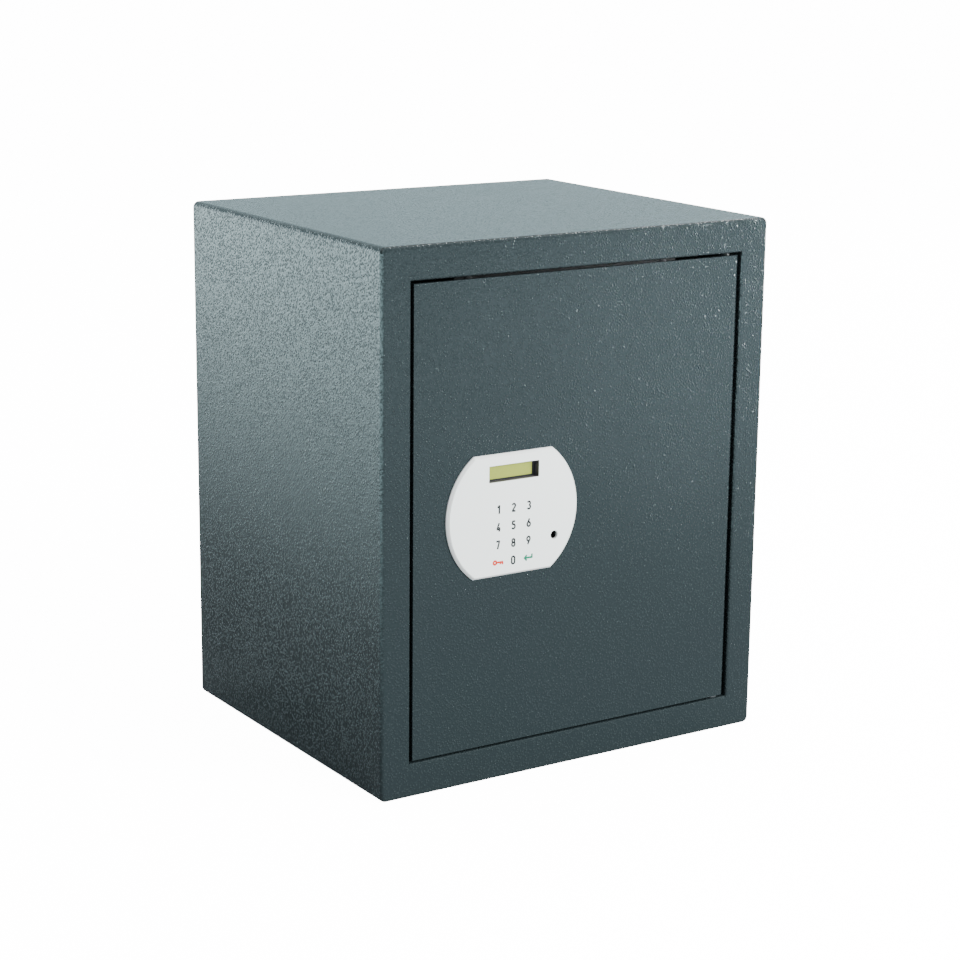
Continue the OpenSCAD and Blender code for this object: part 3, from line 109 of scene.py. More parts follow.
# The coat clouds a little over 60 mm, and painted shade darkens the valleys between the pebbles.
cloud = add(powder_coat, "TexNoise", {"Vector": place, "Scale": 1 / 0.06, "Detail": 2.0})
body_colour = add(powder_coat, "MixRGB", {
    "Fac": cloud.outputs["Fac"], "Color1": linear("262F31"), "Color2": linear("2A3335")})
colour = add(powder_coat, "MixRGB", {
    "Fac": domes.outputs["Result"], "Color1": linear("1E2628"),
    "Color2": body_colour.outputs["Color"]})
gloss = add(powder_coat, "MapRange", {
    "Value": cloud.outputs["Fac"], "To Min": 0.11, "To Max": 0.14})
end_material(powder_coat, {
    "Base Color": colour.outputs["Color"], "Roughness": gloss.outputs["Result"], "IOR": 1.5,
    "Specular Tint": (0.84, 1.0, 1.03, 1), "Normal": bump.outputs["Normal"]})
finish_nodes(powder_coat, "body_shell", "back_panel", "strike_plates", "hinge_brackets",
             "shelf_rails", "shelf", "door_panel", "hinge_blocks", "inner_cover")

# Hinge washer: a disc turned from steel bar that lies on the lower bracket and carries the door.
# It is ground flat and greased, and nothing fixes it but the pin. The bolt bar, its pins, the
# pinion, and the screws of the chassis and the keypad share its finish.
ground_steel, place = start_material("ground_steel")
# Ground carbon steel is a mid grey metal, stained in patches. Its grinding marks are 0.02 mm wide,
# drawn ten times coarser.
marks = add(ground_steel, "Mapping", {
    "Vector": place, "Scale": (1 / 0.03, 1 / 0.0002, 1 / 0.0002)})
grain = add(ground_steel, "TexNoise", {
    "Vector": marks.outputs["Vector"], "Scale": 1.0, "Detail": 3.0})
stain = add(ground_steel, "TexNoise", {"Vector": place, "Scale": 1 / 0.012, "Detail": 3.0})
steel_tone = add(ground_steel, "MixRGB", {
    "Fac": stain.outputs["Fac"], "Color1": linear("8A8D8F"), "Color2": linear("A3A5A6")})
steel_gloss = add(ground_steel, "MapRange", {
    "Value": grain.outputs["Fac"], "To Min": 0.26, "To Max": 0.46})
scored = add(ground_steel, "Bump", {
    "Height": grain.outputs["Fac"], "Strength": 0.25, "Distance": 0.00004})
end_material(ground_steel, {
    "Base Color": steel_tone.outputs["Color"], "Metallic": 1.0,
    "Roughness": steel_gloss.outputs["Result"], "Normal": scored.outputs["Normal"]})
finish_nodes(ground_steel, "hinge_washer", "chassis_screws", "bolt_bar", "bolt_pins",
             "drive_pinion", "keypad_screws")

# Door stops: two angles folded from sheet and welded inside, above and below the opening.
# Their black is painted shade over the coat, so that the gap round the door stays dark.
gap_shade_black, place = start_material("painted_gap_shade_black")
# The black of painted shade is matt, with brush lines 0.3 mm wide along the angle, drawn at 0.6 mm.
brushed = add(gap_shade_black, "Mapping", {
    "Vector": place, "Scale": (1 / 0.03, 1 / 0.0006, 1 / 0.0006)})
bristles = add(gap_shade_black, "TexNoise", {
    "Vector": brushed.outputs["Vector"], "Scale": 1.0, "Detail": 2.0})
gap_shade_tone = add(gap_shade_black, "MixRGB", {
    "Fac": bristles.outputs["Fac"], "Color1": linear("0C0D0D"), "Color2": linear("161718")})
brush_lines = add(gap_shade_black, "Bump", {
    "Height": bristles.outputs["Fac"], "Strength": 0.3, "Distance": 0.00005})
end_material(gap_shade_black, {
    "Base Color": gap_shade_tone.outputs["Color"], "Roughness": 0.75, "Specular IOR Level": 0.3,
    "Normal": brush_lines.outputs["Normal"]})
finish_nodes(gap_shade_black, "door_stops")

# Door buffers: four bumpers of black nitrile rubber, moulded with a flange and a dome.
# Each is stuck near an end of a stop angle, and the door plate lands on them when it shuts.


def turned(place, stations, along=(0, 0, 0), sides=32):
    """A round piece: a disc drawn out and widened through (distance, radius) stations."""
    bpy.ops.object.select_all(action="DESELECT")
    start, radius = stations[0]
    bpy.ops.mesh.primitive_circle_add(vertices=sides, radius=radius, fill_type="NGON",
                                      location=(0, 0, start))
    bpy.ops.object.transform_apply(location=True)
    bpy.ops.object.mode_set(mode="EDIT")
    bpy.ops.mesh.select_all(action="SELECT")
    for at, wide in stations[1:]:
        bpy.ops.mesh.extrude_region_move(TRANSFORM_OT_translate={"value": (0, 0, at - start)})
        bpy.ops.transform.resize(value=(wide / radius, wide / radius, 1),
                                 center_override=(0, 0, at))
        start, radius = at, wide
    bpy.ops.object.mode_set(mode="OBJECT")
    piece = bpy.context.object
    piece.location = place
    piece.rotation_euler = along
    return piece


def pick(*pieces):
    """Selects these pieces alone, and makes the first of them active."""
    bpy.ops.object.select_all(action="DESELECT")
    for piece in pieces:
        piece.select_set(True)
    bpy.context.view_layer.objects.active = pieces[0]


def settle(piece, name, material, body, slot, *stands_for):
    """Finishes a new piece: its place goes into its mesh, its faces turn outwards, and it rides."""
    piece.name = name
    pick(piece)
    bpy.ops.object.transform_apply(location=True, rotation=True, scale=True)
    bpy.ops.object.mode_set(mode="EDIT")
    bpy.ops.mesh.select_all(action="SELECT")
    bpy.ops.mesh.remove_doubles(threshold=0.000004)
    bpy.ops.mesh.normals_make_consistent(inside=False)
    bpy.ops.object.mode_set(mode="OBJECT")
    bpy.ops.object.shade_smooth_by_angle(angle=0.6)
    piece.data.materials.clear()
    piece.data.materials.append(material)
    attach(piece, body)
    if stands_for:
        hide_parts(*stands_for)


# Nitrile rubber is a dull near black, with a fine bloom and dust that grey it in patches 3 mm wide.
nitrile, place = start_material("moulded_nitrile_rubber")
bloom = add(nitrile, "TexNoise", {"Vector": place, "Scale": 1 / 0.003, "Detail": 4.0})
skin = add(nitrile, "TexNoise", {"Vector": place, "Scale": 1 / 0.0004, "Detail": 2.0})
rubber_tone = add(nitrile, "MixRGB", {
    "Fac": bloom.outputs["Fac"], "Color1": linear("151617"), "Color2": linear("2A2B2C")})
rubber_relief = add(nitrile, "Bump", {
    "Height": skin.outputs["Fac"], "Strength": 0.4, "Distance": 0.00005})
end_material(nitrile, {
    "Base Color": rubber_tone.outputs["Color"], "Roughness": 0.78, "IOR": 1.52,
    "Normal": rubber_relief.outputs["Normal"]})
stops_low, stops_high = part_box("door_stops")
from_end, from_edge = 0.012, 0.004
buffer_places = [(x, stops_low.y, z) for z in (stops_low.z + from_edge, stops_high.z - from_edge)
                 for x in (stops_low.x + from_end, stops_high.x - from_end)]
for i, buffer_place in enumerate(buffer_places):
    buffer = turned(buffer_place, [
        (0, 0.0033), (0.0003, 0.0035), (0.0010, 0.0035), (0.0014, 0.0032), (0.0015, 0.0028),
        (0.0018, 0.0026), (0.0022, 0.00255), (0.0025, 0.0023), (0.0027, 0.0018)],
        along=(pi / 2, 0, 0))
    settle(buffer, f"door_buffer_{i + 1}", nitrile, "cabinet", "rubber", "door_buffers")

# Floor mat: a sheet of needle felt cut to the floor, with two holes over the anchor holes.
# It lies loose, so it swells a little between its pressed cut edges.
felt, place = start_material("needle_felt")
# Needle felt is dark grey and matt. Its fibres are 0.03 mm thick, drawn at 0.25 mm so that they
# show: a wave texture has a line at each 0.31 of its scale.
matted = add(felt, "TexNoise", {
    "Vector": place, "Scale": 1 / 0.0016, "Detail": 6.0, "Roughness": 0.75, "Distortion": 1.4})
fibres = add(felt, "TexWave", {
    "Vector": place, "Scale": 1 / 0.0016, "Distortion": 26.0, "Detail": 4.0, "Detail Scale": 2.4})
# The tone follows the nap: fibres of mixed tone, with painted shade darkening its hollows.
shade = add(felt, "MixRGB", {
    "Fac": matted.outputs["Fac"], "Color1": linear("17191B"), "Color2": linear("3A3D40")})
lint = add(felt, "MixRGB", {
    "Fac": fibres.outputs["Fac"], "Color1": shade.outputs["Color"], "Color2": linear("2A2C2F")})
nap = add(felt, "Bump", {"Height": matted.outputs["Fac"], "Strength": 0.9, "Distance": 0.0005})
end_material(felt, {
    "Base Color": lint.outputs["Color"], "Roughness": 0.95, "Sheen Weight": 0.04,
    "Sheen Roughness": 0.4, "Normal": nap.outputs["Normal"]})
bpy.ops.object.select_all(action="DESELECT")
mat_low, mat_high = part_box("floor_mat")
mat_middle = (mat_low + mat_high) / 2
bpy.ops.mesh.primitive_cube_add(size=1, location=mat_middle, scale=mat_high - mat_low)
mat = bpy.context.object
bpy.ops.object.transform_apply(location=True, scale=True)
hole_x, hole_y, hole_radius = 0.075, 0.02, 0.01
for x in (-hole_x, hole_x):
    bpy.ops.mesh.primitive_cylinder_add(vertices=48, radius=hole_radius, depth=0.02,
                                        location=(x, hole_y, mat_middle.z))
    punch = bpy.context.object
    hole = mat.modifiers.new("hole", "BOOLEAN")
    hole.object = punch
    bpy.context.view_layer.objects.active = mat
    bpy.ops.object.modifier_apply(modifier="hole")
    bpy.data.objects.remove(punch)
pressed = mat.modifiers.new("pressed_edge", "BEVEL")
pressed.width = 0.0009
pressed.segments = 3
pressed.angle_limit = 0.7
bpy.ops.object.modifier_apply(modifier="pressed_edge")
# Cuts across both ways give the swell a mesh to bend.
cut_gap, swell_height, swell_width = 0.007, 0.0009, 0.028
bpy.ops.object.mode_set(mode="EDIT")
for axis in (0, 1):
    for i in range(1, int((mat_high[axis] - mat_low[axis]) / cut_gap)):
        cut = [0, 0, 0]
        cut[axis] = mat_low[axis] + i * cut_gap
        bpy.ops.mesh.select_all(action="SELECT")
        bpy.ops.mesh.bisect(plane_co=cut, plane_no=(axis == 0, axis == 1, 0))
bpy.ops.object.mode_set(mode="OBJECT")
top = mat.vertex_groups.new(name="top")
top.add([v.index for v in mat.data.vertices if v.co.z > mat_middle.z], 1, "REPLACE")
swollen = bpy.data.textures.new("felt_swell", "CLOUDS")
swollen.noise_scale = swell_width
lift = mat.modifiers.new("swell", "DISPLACE")
lift.texture = swollen
lift.direction = "Z"
lift.mid_level = 1
lift.strength = swell_height
lift.vertex_group = "top"
bpy.ops.object.modifier_apply(modifier="swell")
settle(mat, "felt_floor_mat", felt, "cabinet", "mat", "floor_mat")

# Bolt guide and lock chassis: punched and folded from sheet, with spacers turned from bar.
# All are zinc plated before they are fitted, as is the motor's can. The guide is welded to the
# door, and the chassis is screwed on through its spacers.
zinc_plate, place = start_material("blue_passivated_zinc")
# Zinc plate is a bright grey metal with a bluish bloom. Its brush marks are 0.05 mm wide and
# drawn at 0.3 mm.
rolled = add(zinc_plate, "Mapping", {
    "Vector": place, "Scale": (1 / 0.0003, 1 / 0.0003, 1 / 0.02)})
lines = add(zinc_plate, "TexNoise", {
    "Vector": rolled.outputs["Vector"], "Scale": 1.0, "Detail": 2.0})
zinc_bloom = add(zinc_plate, "TexNoise", {"Vector": place, "Scale": 1 / 0.018, "Detail": 4.0})
zinc_tone = add(zinc_plate, "MixRGB", {
    "Fac": zinc_bloom.outputs["Fac"], "Color1": linear("B4B9BE"), "Color2": linear("C9CBC8")})
zinc_gloss = add(zinc_plate, "MapRange", {
    "Value": lines.outputs["Fac"], "To Min": 0.24, "To Max": 0.42})
drawn = add(zinc_plate, "Bump", {
    "Height": lines.outputs["Fac"], "Strength": 0.2, "Distance": 0.00003})
end_material(zinc_plate, {
    "Base Color": zinc_tone.outputs["Color"], "Metallic": 1.0,
    "Roughness": zinc_gloss.outputs["Result"], "Normal": drawn.outputs["Normal"]})
finish_nodes(zinc_plate, "bolt_guide", "lock_chassis", "chassis_spacers", "motor")

# Hinge pins and drive shaft: turned from steel bar and oiled, so darker than the plated sheet.
# The pins are pressed into the door's blocks, and the shaft carries the pinion.
oiled_steel, place = start_material("oiled_turned_steel")
# Oil leaves turned steel a brownish grey, with rings 0.05 mm apart drawn at 0.5 mm.
oil_film = add(oiled_steel, "TexNoise", {"Vector": place, "Scale": 1 / 0.004, "Detail": 3.0})
rings = add(oiled_steel, "TexWave", {"Vector": place, "Scale": 1 / 0.0016, "Distortion": 0.6},
            bands_direction="Z")
oil_tone = add(oiled_steel, "MixRGB", {
    "Fac": oil_film.outputs["Fac"], "Color1": linear("2F3232"), "Color2": linear("4A4D4B")})
oil_gloss = add(oiled_steel, "MapRange", {
    "Value": oil_film.outputs["Fac"], "To Min": 0.3, "To Max": 0.5})
ringed = add(oiled_steel, "Bump", {
    "Height": rings.outputs["Fac"], "Strength": 0.2, "Distance": 0.00004})
end_material(oiled_steel, {
    "Base Color": oil_tone.outputs["Color"], "Metallic": 1.0,
    "Roughness": oil_gloss.outputs["Result"], "Normal": ringed.outputs["Normal"]})
finish_nodes(oiled_steel, "hinge_pins", "drive_shaft")

# Bolts: two round bars, turned, chamfered and zinc plated, with a slot and a pin at the inner end.
# They slide in the bores of the guide, and the bar that joins them slides on plated bushes.
turned_zinc, place = start_material("turned_zinc_plate")
# Each cut of the lathe leaves a ring. Rings 0.1 mm apart are drawn at 0.6 mm so that they show.
grooves = add(turned_zinc, "TexWave", {"Vector": place, "Scale": 1 / 0.002, "Distortion": 0.4},
              bands_direction="X")
haze = add(turned_zinc, "TexNoise", {"Vector": place, "Scale": 1 / 0.007, "Detail": 4.0})
bolt_tone = add(turned_zinc, "MixRGB", {
    "Fac": haze.outputs["Fac"], "Color1": linear("B2B6B9"), "Color2": linear("D0D2D3")})
bolt_gloss = add(turned_zinc, "MapRange", {
    "Value": haze.outputs["Fac"], "To Min": 0.18, "To Max": 0.34})
cut_rings = add(turned_zinc, "Bump", {
    "Height": grooves.outputs["Fac"], "Strength": 0.3, "Distance": 0.00005})
end_material(turned_zinc, {
    "Base Color": bolt_tone.outputs["Color"], "Metallic": 1.0,
    "Roughness": bolt_gloss.outputs["Result"], "Normal": cut_rings.outputs["Normal"]})
finish_nodes(turned_zinc, "upper_bolt", "lower_bolt", "guide_bushes")

# Gearbox, switch, buzzer, socket, display holder and battery tray: moulded in black ABS or nylon.
# They clip or screw to the chassis, the housing and the board. The lid slides on the tray.
black_abs, place = start_material("spark_eroded_black_abs")
# The mould's spark finish leaves a fine even grain, 0.1 mm wide and drawn at 0.35 mm.
spark = add(black_abs, "TexVoronoi", {"Vector": place, "Scale": 1 / 0.00035, "Smoothness": 0.6},
            feature="SMOOTH_F1")
rubbed = add(black_abs, "TexNoise", {"Vector": place, "Scale": 1 / 0.01, "Detail": 3.0})
abs_tone = add(black_abs, "MixRGB", {
    "Fac": rubbed.outputs["Fac"], "Color1": linear("1B1C1E"), "Color2": linear("292B2D")})
abs_gloss = add(black_abs, "MapRange", {
    "Value": rubbed.outputs["Fac"], "To Min": 0.42, "To Max": 0.58})
eroded = add(black_abs, "Bump", {
    "Height": spark.outputs["Distance"], "Strength": 0.5, "Distance": 0.00008})
end_material(black_abs, {
    "Base Color": abs_tone.outputs["Color"], "Roughness": abs_gloss.outputs["Result"],
    "IOR": 1.54, "Normal": eroded.outputs["Normal"]})
finish_nodes(black_abs, "gearbox", "lcd_module", "buzzer", "power_socket",
             "limit_switch", "battery_box", "battery_lid")

# Keypad housing and back: two shells moulded in white ABS, screwed together from inside the door.
# The front one has a bevelled rim that lies on the door plate.
white_abs, place = start_material("satin_white_abs")
# Satin ABS has a soft sheen over a grain of 0.2 mm, drawn at 0.5 mm, and yellows a little.
satin = add(white_abs, "TexNoise", {"Vector": place, "Scale": 1 / 0.0005, "Detail": 2.0})
flow = add(white_abs, "TexNoise", {"Vector": place, "Scale": 1 / 0.04, "Detail": 2.0})
white_tone = add(white_abs, "MixRGB", {
    "Fac": flow.outputs["Fac"], "Color1": linear("E0E4E3"), "Color2": linear("E6EAE9")})
moulded = add(white_abs, "Bump", {
    "Height": satin.outputs["Fac"], "Strength": 0.25, "Distance": 0.00004})
end_material(white_abs, {
    "Base Color": white_tone.outputs["Color"], "Roughness": 0.36, "IOR": 1.53,
    "Subsurface Weight": 0.05, "Subsurface Scale": 0.001, "Normal": moulded.outputs["Normal"]})
finish_nodes(white_abs, "keypad_housing", "keypad_back")

# Keypad foil: printed polyester 0.4 mm thick, stuck over the housing and the keys.
# Its back is printed white, and its front is matt so that it doesn't glare.
foil, place = start_material("matt_printed_polyester")
# The matt coat is a haze finer than 0.1 mm, drawn at 0.4 mm, over an even screen print.
coat_haze = add(foil, "TexNoise", {"Vector": place, "Scale": 1 / 0.0004, "Detail": 2.0})
print_coat = add(foil, "TexNoise", {"Vector": place, "Scale": 1 / 0.03, "Detail": 1.0})
foil_tone = add(foil, "MixRGB", {
    "Fac": print_coat.outputs["Fac"], "Color1": linear("ECF3F1"), "Color2": linear("EFF5F3")})
matt = add(foil, "Bump", {
    "Height": coat_haze.outputs["Fac"], "Strength": 0.15, "Distance": 0.00002})
end_material(foil, {
    "Base Color": foil_tone.outputs["Color"], "Roughness": 0.42, "IOR": 1.6,
    "Normal": matt.outputs["Normal"]})
finish_nodes(foil, "keypad_foil")

# Printed digits and signs: screen printed ink on the foil, dark grey for the digits.
# The two function keys carry a red key sign and a green enter arrow.


def ink(name, code):
    """Screen printing ink: matt, and up to a third lighter where the screen's mesh shows."""
    made, place = start_material(name)
    mesh = add(made, "TexNoise", {"Vector": place, "Scale": 1 / 0.0003, "Detail": 2.0})
    dark = linear(code)
    light = [min(1, c * 1.35 + 0.004) for c in dark[:3]] + [1]
    tone = add(made, "MixRGB", {"Fac": mesh.outputs["Fac"], "Color1": dark, "Color2": light})
    end_material(made, {"Base Color": tone.outputs["Color"], "Roughness": 0.5, "IOR": 1.5})
    return made


def wire(points, radius, closed=False, roundness=1):
    """A round wire along points in metres: a bevelled path made a mesh."""
    path = bpy.data.curves.new("wire", "CURVE")
    path.dimensions = "3D"
    path.bevel_depth = radius
    path.bevel_resolution = roundness
    path.use_fill_caps = True
    run = path.splines.new("POLY")
    run.points.add(len(points) - 1)
    for point, at in zip(run.points, points):
        point.co = (*at, 1)
    run.use_cyclic_u = closed
    shape = bpy.data.objects.new("wire", path)
    bpy.context.collection.objects.link(shape)
    pick(shape)
    bpy.ops.object.convert(target="MESH")
    return bpy.context.object


# The digits' line, the signs' line and the ink's thickness, all in millimetres.
digit_line, sign_line, ink_thickness = 1.45, 1.5, 0.024


def stroke(points, closed=False, width=digit_line):
    """A printed line through points in millimetres: a wire pressed flat."""
    shape = wire([(x / 1000, y / 1000, 0) for x, y in points], width / 2000, closed)
    shape.scale = (1, 1, ink_thickness / width)
    bpy.ops.object.transform_apply(scale=True)
    bpy.ops.object.shade_flat()
    return shape


def printed(name, strokes, key, material):
    """Joins strokes to one print that lies on the foil, its middle over the middle of a key."""
    pick(*strokes)
    bpy.ops.object.join()
    shape = bpy.context.object
    across, upward = ([v.co[axis] for v in shape.data.vertices] for axis in (0, 1))
    key_low, key_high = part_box(key)
    shape.rotation_euler = (pi / 2, 0, 0)
    shape.location = ((key_low.x + key_high.x - min(across) - max(across)) / 2,
                      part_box("keypad_foil")[0].y - ink_thickness / 2000,
                      (key_low.z + key_high.z - min(upward) - max(upward)) / 2)
    settle(shape, name, material, "door", "keypad_print")


def arc(x, y, wide, high, start, end):
    """Points along part of an ellipse, between two angles in degrees."""
    return [(x + wide * cos(turn), y + high * sin(turn))
            for turn in ((start + (end - start) * i / 16) * pi / 180 for i in range(17))]


# Each digit is drawn in strokes, 2.7 mm wide and 5.6 mm high between their middles. A stroke ends
# at each sharp corner, where a path would narrow.
digits = {
    "1": [([(0.2, 4.3), (1.7, 5.7)],), ([(1.7, 6.2), (1.7, -0.5)],)],
    "2": [(arc(1.35, 4.2, 1.3, 1.4, 165, -35) + [(0.2, 0.3)],), ([(-0.3, 0), (2.9, 0)],)],
    "3": [(arc(1.2, 4.25, 1.2, 1.35, 155, -90),), (arc(1.2, 1.45, 1.35, 1.45, 90, -155),)],
    "4": [([(1.9, 6), (0.1, 1.3)],), ([(-0.3, 1.3), (3.1, 1.3)],), ([(2.1, 2.9), (2.1, -0.5)],)],
    "5": [([(2.7, 5.6), (0.2, 5.6)],), ([(0.5, 5.9), (0.4, 3)],),
          (arc(1.25, 1.7, 1.35, 1.7, 125, -150),)],
    "6": [(arc(1.35, 1.65, 1.35, 1.65, 0, 360)[:-1], True), ([(2, 6), (0.4, 2.6)],)],
    "7": [([(-0.3, 5.6), (2.9, 5.6)],), ([(2.5, 5.7), (0.9, -0.4)],)],
    "8": [(arc(1.35, 4.25, 1.1, 1.35, 0, 360)[:-1], True),
          (arc(1.35, 1.45, 1.35, 1.45, 0, 360)[:-1], True)],
    "9": [(arc(1.35, 3.95, 1.35, 1.65, 0, 360)[:-1], True), ([(2.3, 3), (0.7, -0.4)],)],
    "0": [(arc(1.3, 4.3, 1.3, 1.3, 180, 0) + arc(1.3, 1.3, 1.3, 1.3, 0, -180), True)]}
grey_ink = ink("grey_screen_ink", "1B1F21")
for digit, drawn_lines in digits.items():
    printed("digit_" + digit, [stroke(*line) for line in drawn_lines], "key_" + digit, grey_ink)
# The key sign is a ring, a stem and two teeth. The arrow is a hook with its head at the left.
key_sign = [stroke(arc(0, 0, 1.35, 1.35, 0, 360)[:-1], True, sign_line)]
key_sign += [stroke(line, width=sign_line) for line in (
    [(1.3, 0), (7.2, 0)], [(6.8, 0), (6.8, -2)], [(4.9, 0), (4.9, -1.7)])]
printed("close_sign", key_sign, "key_close", ink("red_screen_ink", "B92B15"))
arrow_sign = [stroke(line, width=sign_line) for line in (
    [(7, 3.6), (7, 0.3)], [(7, 1), (0.6, 1)], [(2.4, 3.1), (0.1, 0.7)], [(0.1, 1.3), (2.4, -1.1)])]
printed("enter_sign", arrow_sign, "key_enter", ink("green_screen_ink", "006B4F"))

# Window frame: a collar moulded in dark grey ABS, clipped into the window of the housing.
# Its inner walls show on both sides of the deep display.
frame_abs, place = start_material("dark_grey_abs")
# The mould's fine texture, 0.2 mm wide, is drawn at 0.5 mm.
frame_grain = add(frame_abs, "TexNoise", {"Vector": place, "Scale": 1 / 0.0005, "Detail": 2.0})
frame_tone = add(frame_abs, "MixRGB", {
    "Fac": frame_grain.outputs["Fac"], "Color1": linear("4A474D"), "Color2": linear("57545A")})
frame_relief = add(frame_abs, "Bump", {
    "Height": frame_grain.outputs["Fac"], "Strength": 0.3, "Distance": 0.00004})
end_material(frame_abs, {
    "Base Color": frame_tone.outputs["Color"], "Roughness": 0.45, "IOR": 1.53,
    "Normal": frame_relief.outputs["Normal"]})
finish_nodes(frame_abs, "display_bezel")

# Display: a twisted nematic glass with a yellow green backing, deep behind its dark frame.
# It rests on its moulded holder behind the window.
lcd, place = start_material("yellow_green_lcd")
# The backing is even, with a faint grid where the blank segments lie 0.6 mm apart. Bricks are
# laid in X and Y, so the pattern is stood up first.
stood_up = add(lcd, "Mapping", {"Vector": place, "Rotation": (pi / 2, 0, 0)})
grid = add(lcd, "TexBrick", {
    "Vector": stood_up.outputs["Vector"], "Color1": linear("8F9A3E"), "Color2": linear("939E42"),
    "Mortar": linear("879138"), "Scale": 1.0, "Mortar Size": 0.00005, "Brick Width": 0.0006,
    "Row Height": 0.0007}, offset=0)
end_material(lcd, {
    "Base Color": grid.outputs["Color"], "Roughness": 0.3, "IOR": 1.5, "Coat Weight": 0.6,
    "Coat Roughness": 0.06})
finish_nodes(lcd, "lcd_glass")

# Keys: twelve caps moulded in one shot of grey ABS, loose in the housing behind the foil.
# Each stands on its switch, and the foil gives way by 0.3 mm.
key_abs, place = start_material("grey_moulded_abs")
# Moulded ABS is a soft even grey, with a grain of 0.2 mm drawn at 0.6 mm.
speck = add(key_abs, "TexNoise", {"Vector": place, "Scale": 1 / 0.0006, "Detail": 2.0})
key_tone = add(key_abs, "MixRGB", {
    "Fac": speck.outputs["Fac"], "Color1": linear("B9BDBD"), "Color2": linear("C4C7C7")})
key_relief = add(key_abs, "Bump", {
    "Height": speck.outputs["Fac"], "Strength": 0.2, "Distance": 0.00004})
end_material(key_abs, {
    "Base Color": key_tone.outputs["Color"], "Roughness": 0.45, "IOR": 1.53,
    "Normal": key_relief.outputs["Normal"]})
finish_nodes(key_abs, *(name for name in nodes
                        if name.startswith("key_") and name != "key_switches"))

# Key switches: tactile switches with a black plunger in a case of tinned steel, soldered to the
# board. The case is pressed from sheet and clipped over its four corners.
plunger_height = 0.0006
switch_metal, place = start_material("tinned_steel_and_plunger")
# Tin is a pale grey metal, dulled in spots of 2 mm. The plunger stands before the case, so all
# that lies nearer the door's face is black plastic.
inward = add(switch_metal, "SeparateXYZ", {"Vector": place})
case_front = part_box("key_switches")[0].y + plunger_height
is_case = add(switch_metal, "Math", {0: inward.outputs["Y"], 1: case_front},
              operation="GREATER_THAN")
dulled = add(switch_metal, "TexNoise", {"Vector": place, "Scale": 1 / 0.002, "Detail": 3.0})
tin = add(switch_metal, "MixRGB", {
    "Fac": dulled.outputs["Fac"], "Color1": linear("9C9FA1"), "Color2": linear("B5B8B9")})
switch_tone = add(switch_metal, "MixRGB", {
    "Fac": is_case.outputs["Value"], "Color1": linear("1C1D1E"), "Color2": tin.outputs["Color"]})
end_material(switch_metal, {
    "Base Color": switch_tone.outputs["Color"], "Metallic": is_case.outputs["Value"],
    "Roughness": 0.38})
finish_nodes(switch_metal, "key_switches")

# Circuit boards: glass epoxy with a green solder mask over etched copper, milled to their
# outlines. One is screwed behind the keys and the other stands on bosses of the chassis.


def circuit_board(name, face_y, parts_code):
    """Solder mask over tracks up to its face, and all that stands past that in one colour."""
    made, place = start_material(name)
    flat = add(made, "Mapping", {"Vector": place, "Rotation": (pi / 2, 0, 0)})
    # Tracks run square to each other, 0.5 mm wide and a few millimetres long.
    tracks = add(made, "TexBrick", {
        "Vector": flat.outputs["Vector"], "Color1": linear("1F5A38"), "Color2": linear("26683F"),
        "Mortar": linear("3C8A57"), "Scale": 1.0, "Mortar Size": 0.0003, "Mortar Smooth": 0.1,
        "Brick Width": 0.0093, "Row Height": 0.0021}, offset=0.37)
    mask = add(made, "TexNoise", {"Vector": place, "Scale": 1 / 0.005, "Detail": 3.0})
    inward = add(made, "SeparateXYZ", {"Vector": place})
    raised = add(made, "Math", {0: inward.outputs["Y"], 1: face_y}, operation="GREATER_THAN")
    tone = add(made, "MixRGB", {
        "Fac": raised.outputs["Value"], "Color1": tracks.outputs["Color"],
        "Color2": linear(parts_code)})
    gloss = add(made, "MapRange", {"Value": mask.outputs["Fac"], "To Min": 0.28, "To Max": 0.44})
    relief = add(made, "Bump", {
        "Height": tracks.outputs["Fac"], "Strength": 0.4, "Distance": 0.00004})
    end_material(made, {
        "Base Color": tone.outputs["Color"], "Roughness": gloss.outputs["Result"], "IOR": 1.55,
        "Normal": relief.outputs["Normal"]})
    return made


board_thickness, clear = 0.0016, 0.00005
keypad_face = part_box("key_switches")[1].y + board_thickness + clear
control_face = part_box("control_board")[0].y + board_thickness + 2 * clear
finish_nodes(circuit_board("keypad_board_epoxy", keypad_face, "D8D4C6"), "keypad_pcb")
finish_nodes(circuit_board("control_board_epoxy", control_face, "232527"), "control_board")

# Ribbon cable: ten grey PVC covered wires side by side, clamped in a plug at each end.
# It runs from the keypad's board through the door plate and the chassis to the control board.
wire_pitch = 0.00127
ribbon, place = start_material("ribbed_grey_pvc")
# Each wire's grey PVC cover rounds out between two grooves, and painted shade darkens the grooves.
over_wires = add(ribbon, "SeparateXYZ", {"Vector": place})
turns = add(ribbon, "Math", {0: over_wires.outputs["Z"], 1: 2 * pi / wire_pitch},
            operation="MULTIPLY")
ribs = add(ribbon, "Math", {0: turns.outputs["Value"]}, operation="COSINE")
groove_painted_shade = add(ribbon, "MapRange", {
    "Value": ribs.outputs["Value"], "From Min": -1.0, "From Max": -0.4})
pvc_tone = add(ribbon, "MixRGB", {
    "Fac": groove_painted_shade.outputs["Result"], "Color1": linear("6E7274"), "Color2": linear("A4A8A9")})
ribbed = add(ribbon, "Bump", {
    "Height": ribs.outputs["Value"], "Strength": 0.6, "Distance": 0.0002})
end_material(ribbon, {
    "Base Color": pvc_tone.outputs["Color"], "Roughness": 0.42, "IOR": 1.53,
    "Normal": ribbed.outputs["Normal"]})
finish_nodes(ribbon, "ribbon_cable")

# Leads: stranded copper in a red silicone rubber cover, soldered to the plugs and the tags.
# They feed the motor and bring the battery's current.
silicone, place = start_material("red_silicone_lead")
